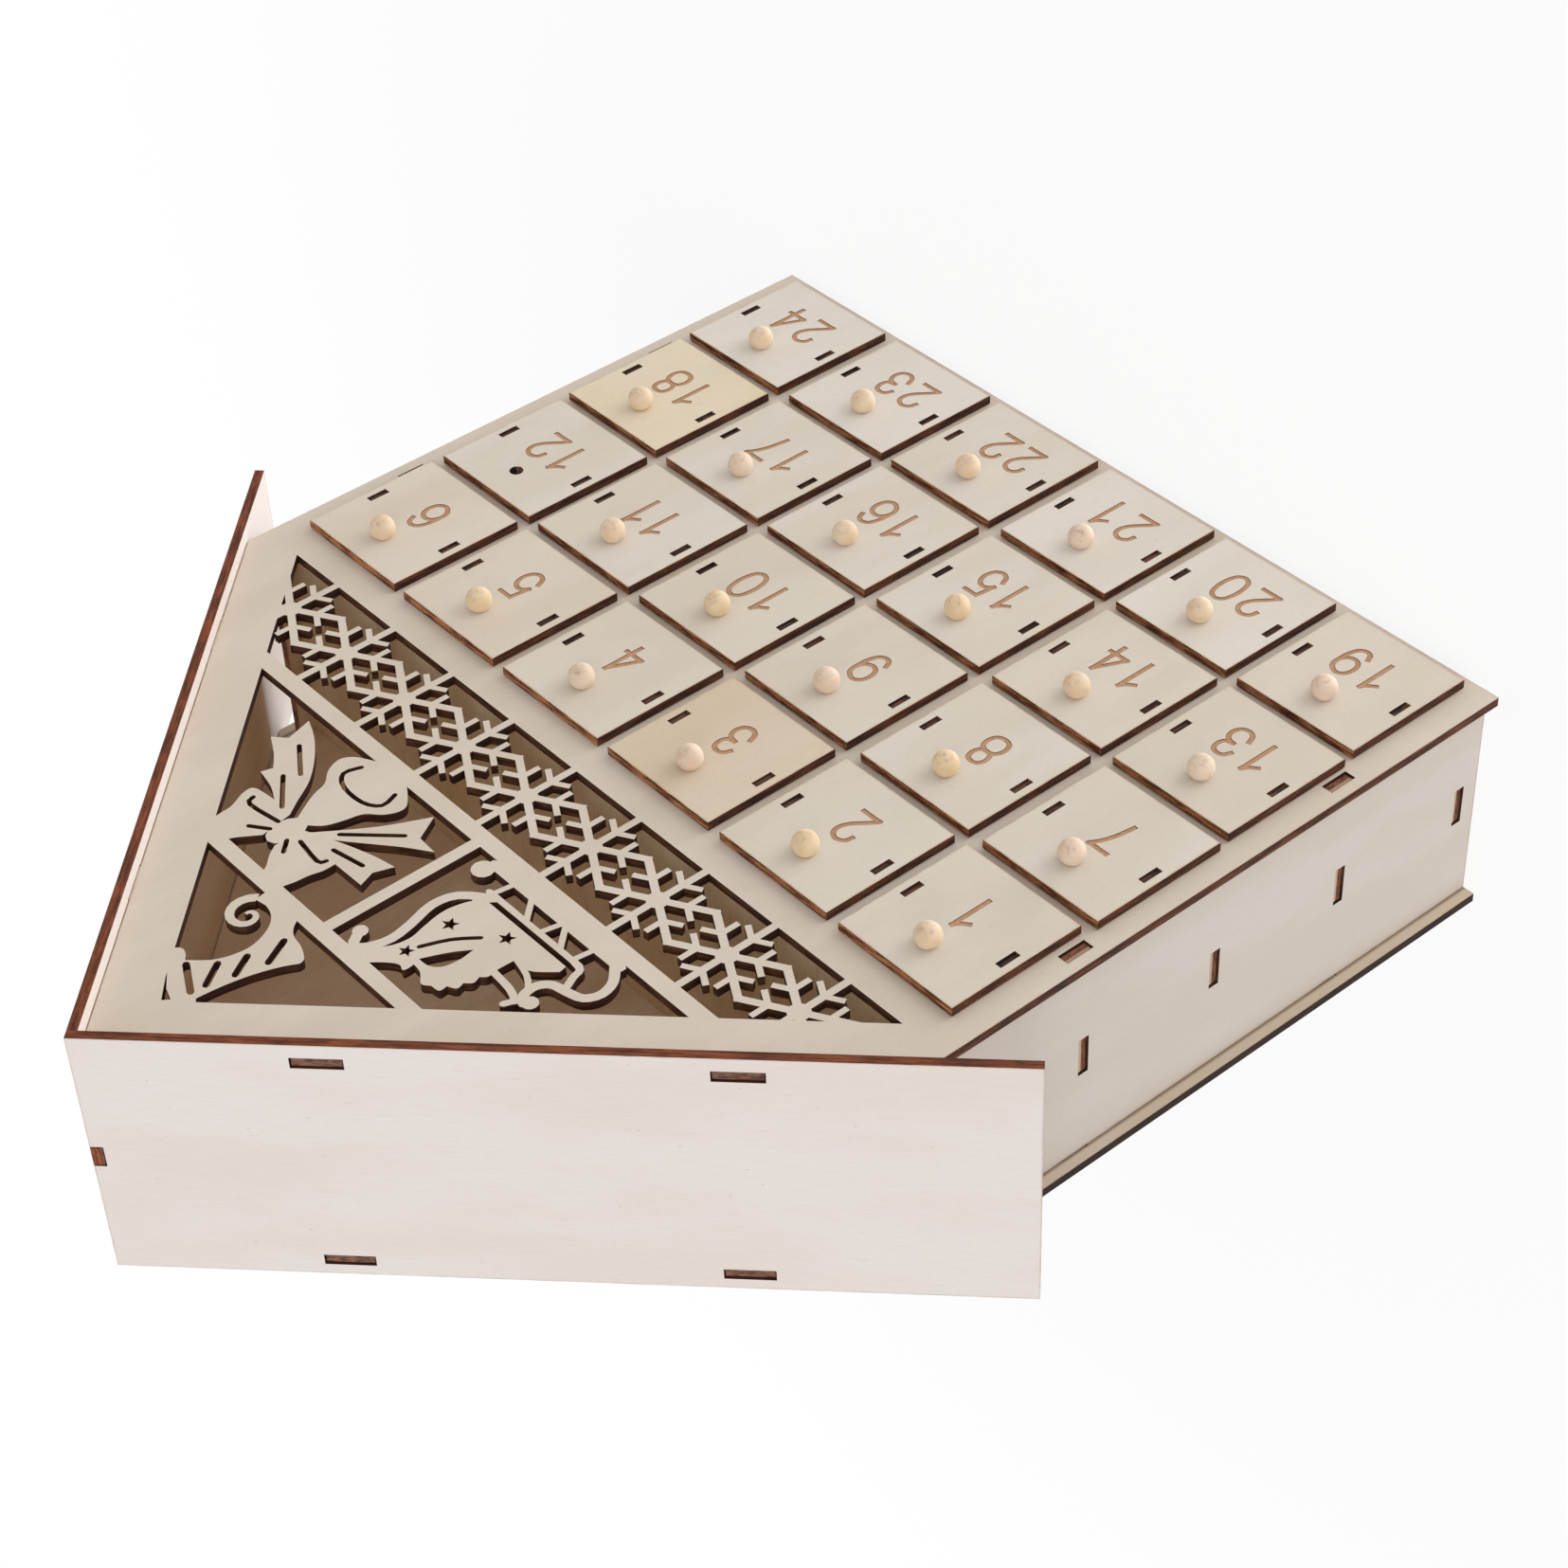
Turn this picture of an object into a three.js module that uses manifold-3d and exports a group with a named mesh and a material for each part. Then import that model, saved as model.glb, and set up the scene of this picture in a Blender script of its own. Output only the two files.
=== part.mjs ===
// Wooden house advent calendar: a flat-pack plywood house with a pierced gable and 24 small drawers.
// Millimetres, +Z up. The house stands on z = 0 and its front faces -Y.
// The pieces are drawn with x from the house's left edge and y from its front face; the last lines
// move the whole house so that the origin is under the middle of its bounding box.
import * as THREE from "three";
import { mergeVertices } from "three/addons/utils/BufferGeometryUtils.js";
import Module from "manifold-3d";

const wasm = await Module();
wasm.setup();

// House carcass
const sheet = 3; // plywood of the house and of the drawer fronts
const roofAngle = THREE.MathUtils.degToRad(45);
const wallInset = 4.2; // from the edge of the front panel in to the wall
const wallSpacing = 1.3; // from the wall in to the nearest drawer front
const footHeight = 4.3; // from the ground to the lowest drawer fronts
const eaveRise = 9; // from the attic floor up to the eaves
const wallDrop = 3.3; // the walls end this far below the eaves
const roofOverhang = 30.5; // down the slope, past the corner of the front panel
const frontProud = 5; // the roof stands this far out over the front
const backProud = 4;
const roofGap = 0.3; // between the roof sheets and the sloping edges below them

// Tabs and slots of the carcass
const slotClearance = 0.4; // all round a tab
const tabRecess = 0.7; // a tab ends this far below the outer face
const roofTab = 13.6;
const lowRoofTab = 48; // centre of the lower tab, up the slope from the eave corner
const highRoofTab = 62.6; // centre of the upper tab, down the slope from the ridge
const ridgeTab = 6.6;
const wallTab = 8.9;
const wallTabLift = 1; // of a tab's centre above the top of its shelf
const tabbedShelves = [1, 3]; // the levels at which the walls have their tabs
const shelfTab = 12.7;

// Rows and columns
const columns = 6;
const rows = 4;
const columnSpacing = 5; // between one drawer front and the next
const rowSpacing = 4.2;

// Drawers
const frontWidth = 45;
const frontHeight = 46.8;
const frontDrop = 4.7; // the drawer front hangs this far below the top of its shelf
const frontRise = 5; // and stands this far above its tray
const frontLip = 2.7; // and past its tray on both sides
const frontGap = 0.3; // between the drawer front and the front panel
const traySheet = 2;
const trayDepth = 72;
const trayBackGap = 4; // behind the tray
const trayLift = 0.3; // running gap under the tray
const sidePlay = 1.2; // between the tray and each side of its opening
const topPlay = 0.6;
const trayTab = 6.9;
const trayTabRecess = 0.9; // a tray's tabs end this far below the face of the drawer front
const joinDepth = 0.5; // glued tray edges are let this deep into the drawer front

// Knobs: a ball on a peg
const knobRadius = 4;
const knobFlat = 1; // cut off the ball where it sits on the drawer front
const knobRise = 11.3; // above the middle of the drawer front
const pegRadius = 1.9;
const pegClearance = 0.3;
const knobSides = 10;
const knobRings = 4;
const numberOfBareDrawer = 12; // its knob is missing, so that its hole shows

// Pierced gable
const rafter = 16.6; // width of the frame along the slopes
const sillRise = 2; // from the attic floor up to the lowest opening
const lowerBar = 5.5;
const upperBar = 5;
const mullionWidth = 4;
const mullionOffset = -6.5; // of the mullion's middle from the middle of the house
const traceryShare = 0.264; // of the height that the bars leave free
const paneShare = 0.387;
const curveSteps = 4; // straight pieces between two points of an outline
const strokeSteps = 3; // and of a stroke
const capSteps = 3; // straight pieces round the end of a stroke
const curlStep = Math.PI / 9; // angle between two points of a curl
const overrun = 1; // cutters and joined pieces run on by this much

// Snowflake tracery
const flakeArms = 6;
const flakeArm = 2.4;
const flakeTwig = 1.9;
const flakeRim = 0.5; // the plate in a flake's middle shows this much beside each arm
const twigStartShare = 0.506; // where the twigs leave an arm, as a share of the arm's length
const twigShare = 0.353; // length of a twig, of the same
const discSides = 12;
const starPoints = 5;

// Where each drawer lies in its play, as a share of the side play, by drawer number
const driftShares = [
  0.8, 0.6, 0.6, 0.4, 0.4, 0.2,
  -0.8, -0.3, 0.5, 0.2, 0.3, -0.2,
  0.1, -0.2, 0.2, 0.6, 0.3, 0.4,
  0.8, 0.4, 0.3, 0.6, 0.2, 0.7,
];

// Worked out from the sizes above
const columnPitch = frontWidth + columnSpacing;
const rowPitch = frontHeight + rowSpacing;
const trayWidth = frontWidth - 2 * frontLip;
const trayHeight = frontHeight - frontDrop - frontRise - trayLift;
const shelfTops = Array.from({ length: rows + 1 }, (_, level) => footHeight + frontDrop + level * rowPitch);
const atticTop = shelfTops[rows];
const wallInner = wallInset + sheet;
const houseWidth = 2 * (wallInner + wallSpacing) + columns * columnPitch - columnSpacing;
const houseDepth = trayDepth + trayBackGap + sheet;
const eaveHeight = atticTop + eaveRise;
const wallTop = eaveHeight - wallDrop;
const middle = houseWidth / 2;
const slopeLength = middle / Math.cos(roofAngle);
const ridgeHeight = eaveHeight + middle * Math.tan(roofAngle);
const innerDepth = houseDepth - 2 * sheet;
const midDepth = houseDepth / 2;
const knobOut = 2 * knobRadius - knobFlat;
const roofTabCentres = [lowRoofTab, slopeLength - highRoofTab];
const wallTabCentres = tabbedShelves.map((level) => shelfTops[level] + wallTabLift);

const material = (color, roughness) => new THREE.MeshStandardMaterial({ color, roughness, metalness: 0 });
const materials = {
  panel: material(0xd9ccb6, 0.62),
  roof: material(0xe6dcd2, 0.62),
  wall: material(0xdfd5c6, 0.62),
  inside: material(0xb99a72, 0.7),
  drawer: material(0xdccfb6, 0.62),
  knob: material(0xe6cfa6, 0.5),
};

// Plane outlines

function outlineShape(points) {
  return new THREE.Shape(points.map(([x, y]) => new THREE.Vector2(x, y)));
}

function rectangle(x0, y0, x1, y1) {
  return [[x0, y0], [x1, y0], [x1, y1], [x0, y1]];
}

// A closed outline made of runs: each run is a smooth curve through its points,
// a run of one point is a straight line, and corners lie where runs meet.
function runShape(start, runs) {
  const shape = new THREE.Shape();
  shape.moveTo(...start);
  for (const run of runs) {
    if (run.length === 1) shape.lineTo(...run[0]);
    else shape.splineThru(run.map(([x, y]) => new THREE.Vector2(x, y)));
  }
  return shape;
}

// A stroke of even width with round ends, along a smooth curve through the points.
function strokeShape(points, width) {
  const curve = new THREE.SplineCurve(points.map(([x, y]) => new THREE.Vector2(x, y)));
  const steps = points.length === 2 ? 1 : strokeSteps * (points.length - 1);
  const half = width / 2;
  const left = [];
  const right = [];
  for (let i = 0; i <= steps; i += 1) {
    const at = curve.getPoint(i / steps);
    const along = curve.getTangent(i / steps);
    left.push([at.x - half * along.y, at.y + half * along.x]);
    right.unshift([at.x + half * along.y, at.y - half * along.x]);
  }
  const cap = (t, sign) => {
    const at = curve.getPoint(t);
    const heading = curve.getTangent(t).angle();
    const turns = Array.from({ length: capSteps - 1 }, (_, i) => (i + 1) / capSteps);
    return turns.map((share) => {
      const angle = heading + sign * Math.PI / 2 - share * Math.PI;
      return [at.x + half * Math.cos(angle), at.y + half * Math.sin(angle)];
    });
  };
  return outlineShape([...left, ...cap(1, 1), ...right, ...cap(0, -1)]);
}

function discPoints(centre, radiusX, radiusY = radiusX, sides = discSides) {
  return Array.from({ length: sides }, (_, i) => {
    const angle = (i / sides) * 2 * Math.PI;
    return [centre[0] + radiusX * Math.cos(angle), centre[1] + radiusY * Math.sin(angle)];
  });
}

function starPointsAt(centre, radius) {
  const innerShare = 0.42;
  return Array.from({ length: 2 * starPoints }, (_, i) => {
    const reach = i % 2 === 0 ? radius : radius * innerShare;
    const angle = Math.PI / 2 + (i / starPoints) * Math.PI;
    return [centre[0] + reach * Math.cos(angle), centre[1] + reach * Math.sin(angle)];
  });
}

// A tapering band that winds inwards round a centre, from startAngle and through sweep radians.
function curlShape(centre, startRadius, endRadius, startWidth, endWidth, startAngle, sweep) {
  const tightening = 1.35;
  const steps = Math.ceil(sweep / curlStep);
  const outer = [];
  const inner = [];
  for (let i = 0; i <= steps; i += 1) {
    const share = i / steps;
    const radius = endRadius + (startRadius - endRadius) * (1 - share) ** tightening;
    const width = startWidth + (endWidth - startWidth) * share;
    const angle = startAngle + share * sweep;
    const at = (r) => [centre[0] + r * Math.cos(angle), centre[1] + r * Math.sin(angle)];
    outer.push(at(radius));
    inner.unshift(at(radius - width));
  }
  return outlineShape([...outer, ...inner]);
}

// Solids

function extrude(shape, depth) {
  return new THREE.ExtrudeGeometry(shape, { depth, bevelEnabled: false, curveSegments: curveSteps });
}

function toSolid(geometry) {
  geometry.deleteAttribute("normal");
  geometry.deleteAttribute("uv");
  const merged = mergeVertices(geometry);
  const mesh = new wasm.Mesh({
    numProp: 3,
    vertProperties: new Float32Array(merged.attributes.position.array),
    triVerts: new Uint32Array(merged.index.array),
  });
  return new wasm.Manifold(mesh);
}

function toGeometry(solid) {
  const { vertProperties, triVerts } = solid.getMesh();
  const geometry = new THREE.BufferGeometry();
  geometry.setAttribute("position", new THREE.BufferAttribute(vertProperties, 3));
  geometry.setIndex(new THREE.BufferAttribute(triVerts, 1));
  return geometry;
}

function box(x0, y0, z0, x1, y1, z1) {
  const geometry = new THREE.BoxGeometry(x1 - x0, y1 - y0, z1 - z0);
  geometry.translate((x0 + x1) / 2, (y0 + y1) / 2, (z0 + z1) / 2);
  return toSolid(geometry);
}

// A cutter for a sheet that lies between z = 0 and z = sheet.
function cutter(shape) {
  return toSolid(extrude(shape, sheet + 2 * overrun).translate(0, 0, -overrun));
}

// The same solid with flat faces that one triangle mesh holds, so that the next cut can tidy them.
const refreshed = (solid) => toSolid(toGeometry(solid));

const join = (solids) => solids.reduce((whole, piece) => whole.add(piece));

// A flat sheet of plywood with openings cut through it.
function cutSheet(outline, openings) {
  const board = toSolid(extrude(outlineShape(outline), sheet));
  return board.subtract(join(openings.map((points) => cutter(outlineShape(points)))));
}

function meshOf(name, geometry, finish) {
  const mesh = new THREE.Mesh(geometry, finish);
  mesh.name = name;
  return mesh;
}

// A sheet drawn in width and height stands facing the front, with its rear face at depth y.
function standing(name, geometry, finish, y) {
  const mesh = meshOf(name, geometry, finish);
  mesh.rotation.x = Math.PI / 2;
  mesh.position.y = y;
  return mesh;
}

// Front and back panels: the same outline, with tabs on the slopes for the roof

const leftSlope = { along: [Math.cos(roofAngle), Math.sin(roofAngle)], out: [-Math.sin(roofAngle), Math.cos(roofAngle)] };

function onLeftSlope(up, out = 0) {
  const { along, out: normal } = leftSlope;
  return [along[0] * up + normal[0] * out, eaveHeight + along[1] * up + normal[1] * out];
}

const mirrored = ([x, y]) => [houseWidth - x, y];

function slopeWithTabs() {
  const tabOut = roofGap + sheet - tabRecess;
  return roofTabCentres.flatMap((centre) => [
    onLeftSlope(centre - roofTab / 2),
    onLeftSlope(centre - roofTab / 2, tabOut),
    onLeftSlope(centre + roofTab / 2, tabOut),
    onLeftSlope(centre + roofTab / 2),
  ]);
}

function panelSolid(openings) {
  const left = slopeWithTabs();
  const outline = [
    [0, 0], [houseWidth, 0], mirrored([0, eaveHeight]), ...left.map(mirrored),
    [middle, ridgeHeight], ...left.toReversed(), [0, eaveHeight],
  ];
  const slots = wallTabCentres.flatMap((centre) => {
    const half = wallTab / 2 + slotClearance;
    const slot = rectangle(wallInset - slotClearance, centre - half, wallInner + slotClearance, centre + half);
    return [slot, slot.map(mirrored)];
  });
  return cutSheet(outline, [...slots, ...openings]);
}

// Drawer openings in the front panel

function columnCentre(column) {
  return middle + (column - (columns - 1) / 2) * columnPitch;
}

const drawerPlaces = Array.from({ length: rows * columns }, (_, i) => ({
  number: i + 1,
  x: columnCentre(i % columns),
  shelfTop: shelfTops[rows - 1 - Math.floor(i / columns)],
  drift: driftShares[i % driftShares.length] * sidePlay,
}));

function drawerOpening({ x, shelfTop }) {
  const half = trayWidth / 2 + sidePlay;
  return rectangle(x - half, shelfTop, x + half, shelfTop + trayLift + trayHeight + topPlay);
}

// Gable openings

const slopeInset = rafter / Math.cos(roofAngle);
const raftersMeet = ridgeHeight - slopeInset;
const traceryFloor = atticTop + sillRise;
const freeHeight = raftersMeet - traceryFloor - lowerBar - upperBar;
const traceryTop = traceryFloor + freeHeight * traceryShare;
const paneFloor = traceryTop + lowerBar;
const paneTop = paneFloor + freeHeight * paneShare;
const attic = paneTop + upperBar;

// Where the inner edge of the left rafter is at a height.
const rafterInner = (height) => (height - eaveHeight + slopeInset) / Math.tan(roofAngle);
const mullionLeft = middle + mullionOffset - mullionWidth / 2;
const mullionRight = mullionLeft + mullionWidth;

const gableOpenings = [
  [
    [rafterInner(traceryFloor), traceryFloor], mirrored([rafterInner(traceryFloor), traceryFloor]),
    mirrored([rafterInner(traceryTop), traceryTop]), [rafterInner(traceryTop), traceryTop],
  ],
  [
    [rafterInner(paneFloor), paneFloor], [mullionLeft, paneFloor],
    [mullionLeft, paneTop], [rafterInner(paneTop), paneTop],
  ],
  [
    [mullionRight, paneFloor], mirrored([rafterInner(paneFloor), paneFloor]),
    mirrored([rafterInner(paneTop), paneTop]), [mullionRight, paneTop],
  ],
  [[rafterInner(attic), attic], mirrored([rafterInner(attic), attic]), [middle, raftersMeet]],
];

// Snowflakes stand side by side and cross at the tips of their slanting arms.
// An arm is drawn along its own axis: its end, the outer and the inner edge of its twig, and the hub.

function flakePoints(centreX, centreY, reach) {
  const turn = (2 * Math.PI) / flakeArms;
  const halfArm = flakeArm / 2;
  const halfTwig = flakeTwig / 2;
  const root = reach * twigStartShare;
  const twig = reach * twigShare;
  const base = (side) => [root + (halfArm * Math.cos(turn) - side * halfTwig) / Math.sin(turn), halfArm];
  const tip = (side) => [
    root + twig * Math.cos(turn) - side * halfTwig * Math.sin(turn),
    twig * Math.sin(turn) + side * halfTwig * Math.cos(turn),
  ];
  const hub = (halfArm + flakeRim) / Math.tan(turn / 2);
  const leftSide = [[reach + overrun, halfArm], base(-1), tip(-1), tip(1), base(1), [hub, halfArm]];
  const rightSide = leftSide.toReversed().map(([along, across]) => [along, -across]);
  const arm = [...rightSide, ...leftSide, [hub, halfArm + flakeRim]];
  return Array.from({ length: flakeArms }, (_, i) => Math.PI / 2 + i * turn).flatMap((angle) => (
    arm.map(([along, across]) => [
      centreX + along * Math.cos(angle) - across * Math.sin(angle),
      centreY + along * Math.sin(angle) + across * Math.cos(angle),
    ])
  ));
}

function traceryShapes() {
  const reach = (traceryTop - traceryFloor) / 2;
  const pitch = 2 * reach * Math.cos(Math.PI / flakeArms);
  const perSide = Math.floor((middle - rafterInner(traceryFloor)) / pitch);
  return Array.from({ length: 2 * perSide + 1 }, (_, i) => (
    outlineShape(flakePoints(middle + (i - perSide) * pitch, traceryFloor + reach, reach))
  ));
}

// The pictures. A table's points, widths and radii are shares of the picture's unit, from its corner:
// outlines made of runs, strokes with their widths, discs with their radii, and stars.

function pictureShapes([cornerX, cornerY], unit, { outlines = [], strokes = [], discs = [], stars = [] }) {
  const place = ([u, v]) => [cornerX + u * unit, cornerY + v * unit];
  return [
    ...outlines.map(([[start], ...runs]) => runShape(place(start), runs.map((run) => run.map(place)))),
    ...strokes.map(([width, ...points]) => strokeShape(points.map(place), width * unit)),
    ...discs.map(([at, radiusX, radiusY]) => outlineShape(discPoints(place(at), radiusX * unit, radiusY * unit))),
    ...stars.map(([at, radius]) => outlineShape(starPointsAt(place(at), radius * unit))),
  ];
}

// Bell under a ribbon bow: the bell, the left loop, the left tail, then the right loop and its tail.
const bellShares = {
  outlines: [
    [
      [[0.73, 0.61]],
      [[0.66, 0.54], [0.62, 0.43], [0.59, 0.32], [0.51, 0.24], [0.47, 0.15], [0.5, 0.08], [0.65, -0.02]],
      [[0.87, -0.02]],
      [[0.94, 0.01], [1.04, 0.07], [1.08, 0.15], [1.04, 0.25], [0.96, 0.33], [0.92, 0.44], [0.82, 0.61]],
    ],
    [
      [[0.71, 0.84]],
      [[0.66, 0.91], [0.6, 0.97], [0.57, 1.02]],
      [[0.4, 1.02]],
      [[0.38, 0.93], [0.37, 0.84], [0.35, 0.76], [0.35, 0.68]],
      [[0.11, 0.675]], [[0.15, 0.57]], [[0.105, 0.45]],
      [[0.25, 0.48], [0.41, 0.53], [0.57, 0.59], [0.71, 0.65]],
    ],
    [
      [[0.69, 0.66]],
      [[0.53, 0.575], [0.37, 0.45], [0.21, 0.32], [0.055, 0.215]],
      [[0.205, 0.205]], [[0.3, 0.04]], [[0.37, 0.18]],
      [[0.44, 0.31], [0.54, 0.46], [0.65, 0.61]],
    ],
    [
      [[0.83, 0.84]],
      [[0.88, 0.91], [0.92, 0.97], [0.94, 1.02]],
      [[1.14, 1.02]],
      [[1.15, 0.92], [1.16, 0.83], [1.21, 0.72], [1.2, 0.645], [1.04, 0.62]],
      [[1.15, 0.57], [1.3, 0.54]], [[1.275, 0.47]],
      [[1.37, 0.4], [1.52, 0.32]], [[1.44, 0.25]], [[1.49, 0.075]],
      [[1.35, 0.135], [1.19, 0.24], [1.04, 0.38], [0.94, 0.53], [0.87, 0.63]],
    ],
  ],
  discs: [[[0.77, 0.72], 0.09, 0.13]],
};

// Slits in the ribbon, and the arc of the bell's mouth.
const bellSlitShares = {
  strokes: [
    [0.03, [0.405, 0.7], [0.44, 0.74], [0.64, 0.715]],
    [0.03, [0.235, 0.575], [0.455, 0.62]],
    [0.03, [0.63, 0.835], [0.7, 0.765]],
    [0.03, [0.28, 0.255], [0.54, 0.52]],
    [0.03, [0.955, 0.625], [1.18, 0.465]],
    [0.03, [1.12, 0.385], [1.34, 0.245]],
    [0.03, [0.865, 0.71], [1.1, 0.745], [1.14, 0.695]],
    [0.03, [0.845, 0.78], [0.95, 0.855]],
    [0.03, [0.606, 0.091], [0.58, 0.2], [0.68, 0.267], [0.86, 0.267], [0.96, 0.2], [0.934, 0.091]],
  ],
};

// Sleigh with a sack of stars and a scalloped bundle: the sack, the bundle, then the sleigh's strokes.
const sleighShares = {
  outlines: [
    [
      [[-1.09, 0.24]], [[-0.38, 0.24]],
      [[-0.32, 0.32], [-0.29, 0.46], [-0.315, 0.61], [-0.34, 0.72], [-0.32, 0.83], [-0.26, 0.92], [-0.19, 1.02]],
      [[-0.33, 1.02]],
      [[-0.4, 0.94], [-0.47, 0.89], [-0.52, 0.9], [-0.525, 0.84], [-0.5, 0.8]],
      [[-0.58, 0.63], [-0.68, 0.49], [-0.77, 0.43], [-0.89, 0.415], [-0.99, 0.4], [-1.1, 0.29]],
    ],
    [
      [[-0.87, 0.35]],
      [[-0.86, 0.51], [-0.87, 0.59], [-0.84, 0.63]],
      [[-0.855, 0.68], [-0.82, 0.72]],
      [[-0.83, 0.77], [-0.78, 0.8]],
      [[-0.78, 0.85], [-0.72, 0.86]],
      [[-0.67, 0.89], [-0.59, 0.84], [-0.49, 0.83]],
      [[-0.49, 0.785]],
      [[-0.58, 0.78], [-0.64, 0.73], [-0.66, 0.63], [-0.65, 0.51], [-0.67, 0.39]],
    ],
  ],
  strokes: [
    [
      0.06, [-1.27, 0.05], [-1.355, 0.13], [-1.385, 0.23], [-1.345, 0.32], [-1.25, 0.355],
      [-1.15, 0.38], [-1.1, 0.45], [-1.11, 0.54], [-1.16, 0.58],
    ],
    [0.045, [-1.13, 0.56], [-1.09, 0.66]],
    [0.045, [-1.22, 0.34], [-1.18, 0.26], [-1.16, 0.2], [-1.09, 0.185]],
    [0.04, [-1.14, 0.185], [-0.33, 0.185]],
    [0.07, [-1.29, 0.03], [-0.17, 0.03]],
    [
      0.062, [-0.38, 0.21], [-0.24, 0.33], [-0.205, 0.48], [-0.25, 0.65],
      [-0.275, 0.8], [-0.24, 0.93], [-0.18, 0.985], [-0.12, 0.91],
    ],
    [0.05, [-0.41, 0.19], [-0.34, 0.28]],
    [0.036, [-1.1, 0.5], [-1, 0.435], [-0.86, 0.4]],
    [0.045, [-1.12, 0.6], [-1.02, 0.565], [-0.85, 0.55]],
    [0.036, [-1.07, 0.19], [-1.09, 0.05]],
    [0.036, [-0.96, 0.18], [-0.84, 0.05]],
    [0.036, [-0.78, 0.18], [-0.81, 0.05]],
    [0.036, [-0.66, 0.18], [-0.54, 0.05]],
    [0.036, [-0.36, 0.18], [-0.38, 0.05]],
  ],
  discs: [[[-1.18, 0.55], 0.05, 0.05], [[-0.16, 0.1], 0.07, 0.07], [[-0.11, 0.89], 0.046, 0.046]],
};

// A fold of the sack and the stars on it.
const sackShares = {
  strokes: [[0.028, [-0.43, 0.73], [-0.5, 0.57], [-0.6, 0.44]]],
  stars: [[[-0.41, 0.8], 0.05], [[-0.4, 0.5], 0.055], [[-0.7, 0.34], 0.055]],
};

// Boot under the ridge, and its stripes and the notch in its cuff.
const bootShares = {
  outlines: [[
    [[-0.133, 0.822]],
    [[-0.151, 0.655], [-0.187, 0.478], [-0.244, 0.311], [-0.302, 0.2]],
    [[-0.284, 0.156], [-0.189, 0.111], [-0.078, 0.089], [-0.011, 0.044], [0.033, -0.022]],
    [[0.367, -0.022]], [[0.356, 0.078]], [[0.267, 0.061]],
    [[0.189, 0.078], [0.111, 0.133], [0.05, 0.233], [0.022, 0.344], [0.039, 0.467], [0.089, 0.578], [0.189, 0.689]],
    [[0.228, 0.661], [0.278, 0.644], [0.317, 0.667], [0.35, 0.739]],
    [[0.378, 0.8]], [[0, 1.155]], [[-0.222, 0.889]],
  ]],
};
const bootCutShares = {
  outlines: [[[[-0.039, 0.939]], [[-0.006, 0.983]], [[0.211, 0.8]], [[0.061, 0.905]]]],
  strokes: [
    [0.047, [-0.067, 0.817], [0.156, 0.705]],
    [0.047, [-0.078, 0.717], [0.033, 0.561]],
    [0.047, [-0.122, 0.539], [-0.033, 0.394]],
    [0.047, [-0.167, 0.333], [-0.072, 0.156]],
  ],
};

// The boot's curled toe.
const toeShares = { centre: [0.267, 0.189], radii: [0.196, 0.029], widths: [0.071, 0.024] };
const toeStart = THREE.MathUtils.degToRad(-55);
const toeSweep = THREE.MathUtils.degToRad(430);

function toeShape([cornerX, cornerY], unit) {
  const { centre: [u, v], radii, widths } = toeShares;
  const sizes = [...radii, ...widths].map((share) => share * unit);
  return curlShape([cornerX + u * unit, cornerY + v * unit], ...sizes, toeStart, toeSweep);
}

function pictures() {
  const paneUnit = paneTop - paneFloor;
  const atticUnit = raftersMeet - attic;
  const bellCorner = [mullionRight, paneFloor];
  const sleighCorner = [mullionLeft, paneFloor];
  const bootCorner = [middle, attic];
  return [
    {
      add: pictureShapes(bellCorner, paneUnit, bellShares),
      cut: pictureShapes(bellCorner, paneUnit, bellSlitShares),
    },
    {
      add: pictureShapes(sleighCorner, paneUnit, sleighShares),
      cut: pictureShapes(sleighCorner, paneUnit, sackShares),
    },
    {
      add: [...pictureShapes(bootCorner, atticUnit, bootShares), toeShape(bootCorner, atticUnit)],
      cut: pictureShapes(bootCorner, atticUnit, bootCutShares),
    },
  ];
}

function frontPanel() {
  const sheetOf = (shape) => toSolid(extrude(shape, sheet));
  const cutAway = (solid, shapes) => solid.subtract(join(shapes.map(cutter)));
  const artwork = pictures().map(({ add, cut }) => refreshed(cutAway(refreshed(join(add.map(sheetOf))), cut)));
  const tracery = refreshed(join(traceryShapes().map(sheetOf)));
  const frame = refreshed(panelSolid([]));
  const gable = cutAway(frame, gableOpenings.map(outlineShape));
  const filled = refreshed(join([gable, tracery, ...artwork]));
  return toGeometry(cutAway(filled, drawerPlaces.map((place) => outlineShape(drawerOpening(place)))));
}

// Side walls, drawn in depth and height

function wallSolid() {
  const back = sheet + innerDepth;
  const half = wallTab / 2;
  const outTabs = wallTabCentres.flatMap((centre) => [
    [back, centre - half], [houseDepth - tabRecess, centre - half],
    [houseDepth - tabRecess, centre + half], [back, centre + half],
  ]);
  const frontTabs = outTabs.toReversed().map(([y, z]) => [houseDepth - y, z]);
  const outline = [
    [sheet, 0], [back, 0], ...outTabs, [back, wallTop], [sheet, wallTop], ...frontTabs,
  ];
  const reach = shelfTab / 2 + slotClearance;
  const slots = shelfTops.map((top) => rectangle(
    midDepth - reach, top - sheet - slotClearance, midDepth + reach, top + slotClearance,
  ));
  return cutSheet(outline, slots);
}

function wall(name, x) {
  const mesh = meshOf(name, toGeometry(wallSolid()), materials.wall);
  mesh.rotation.set(Math.PI / 2, 0, Math.PI / 2, "ZYX");
  mesh.position.x = x;
  return mesh;
}

// Shelves between the walls, drawn in width and depth

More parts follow.
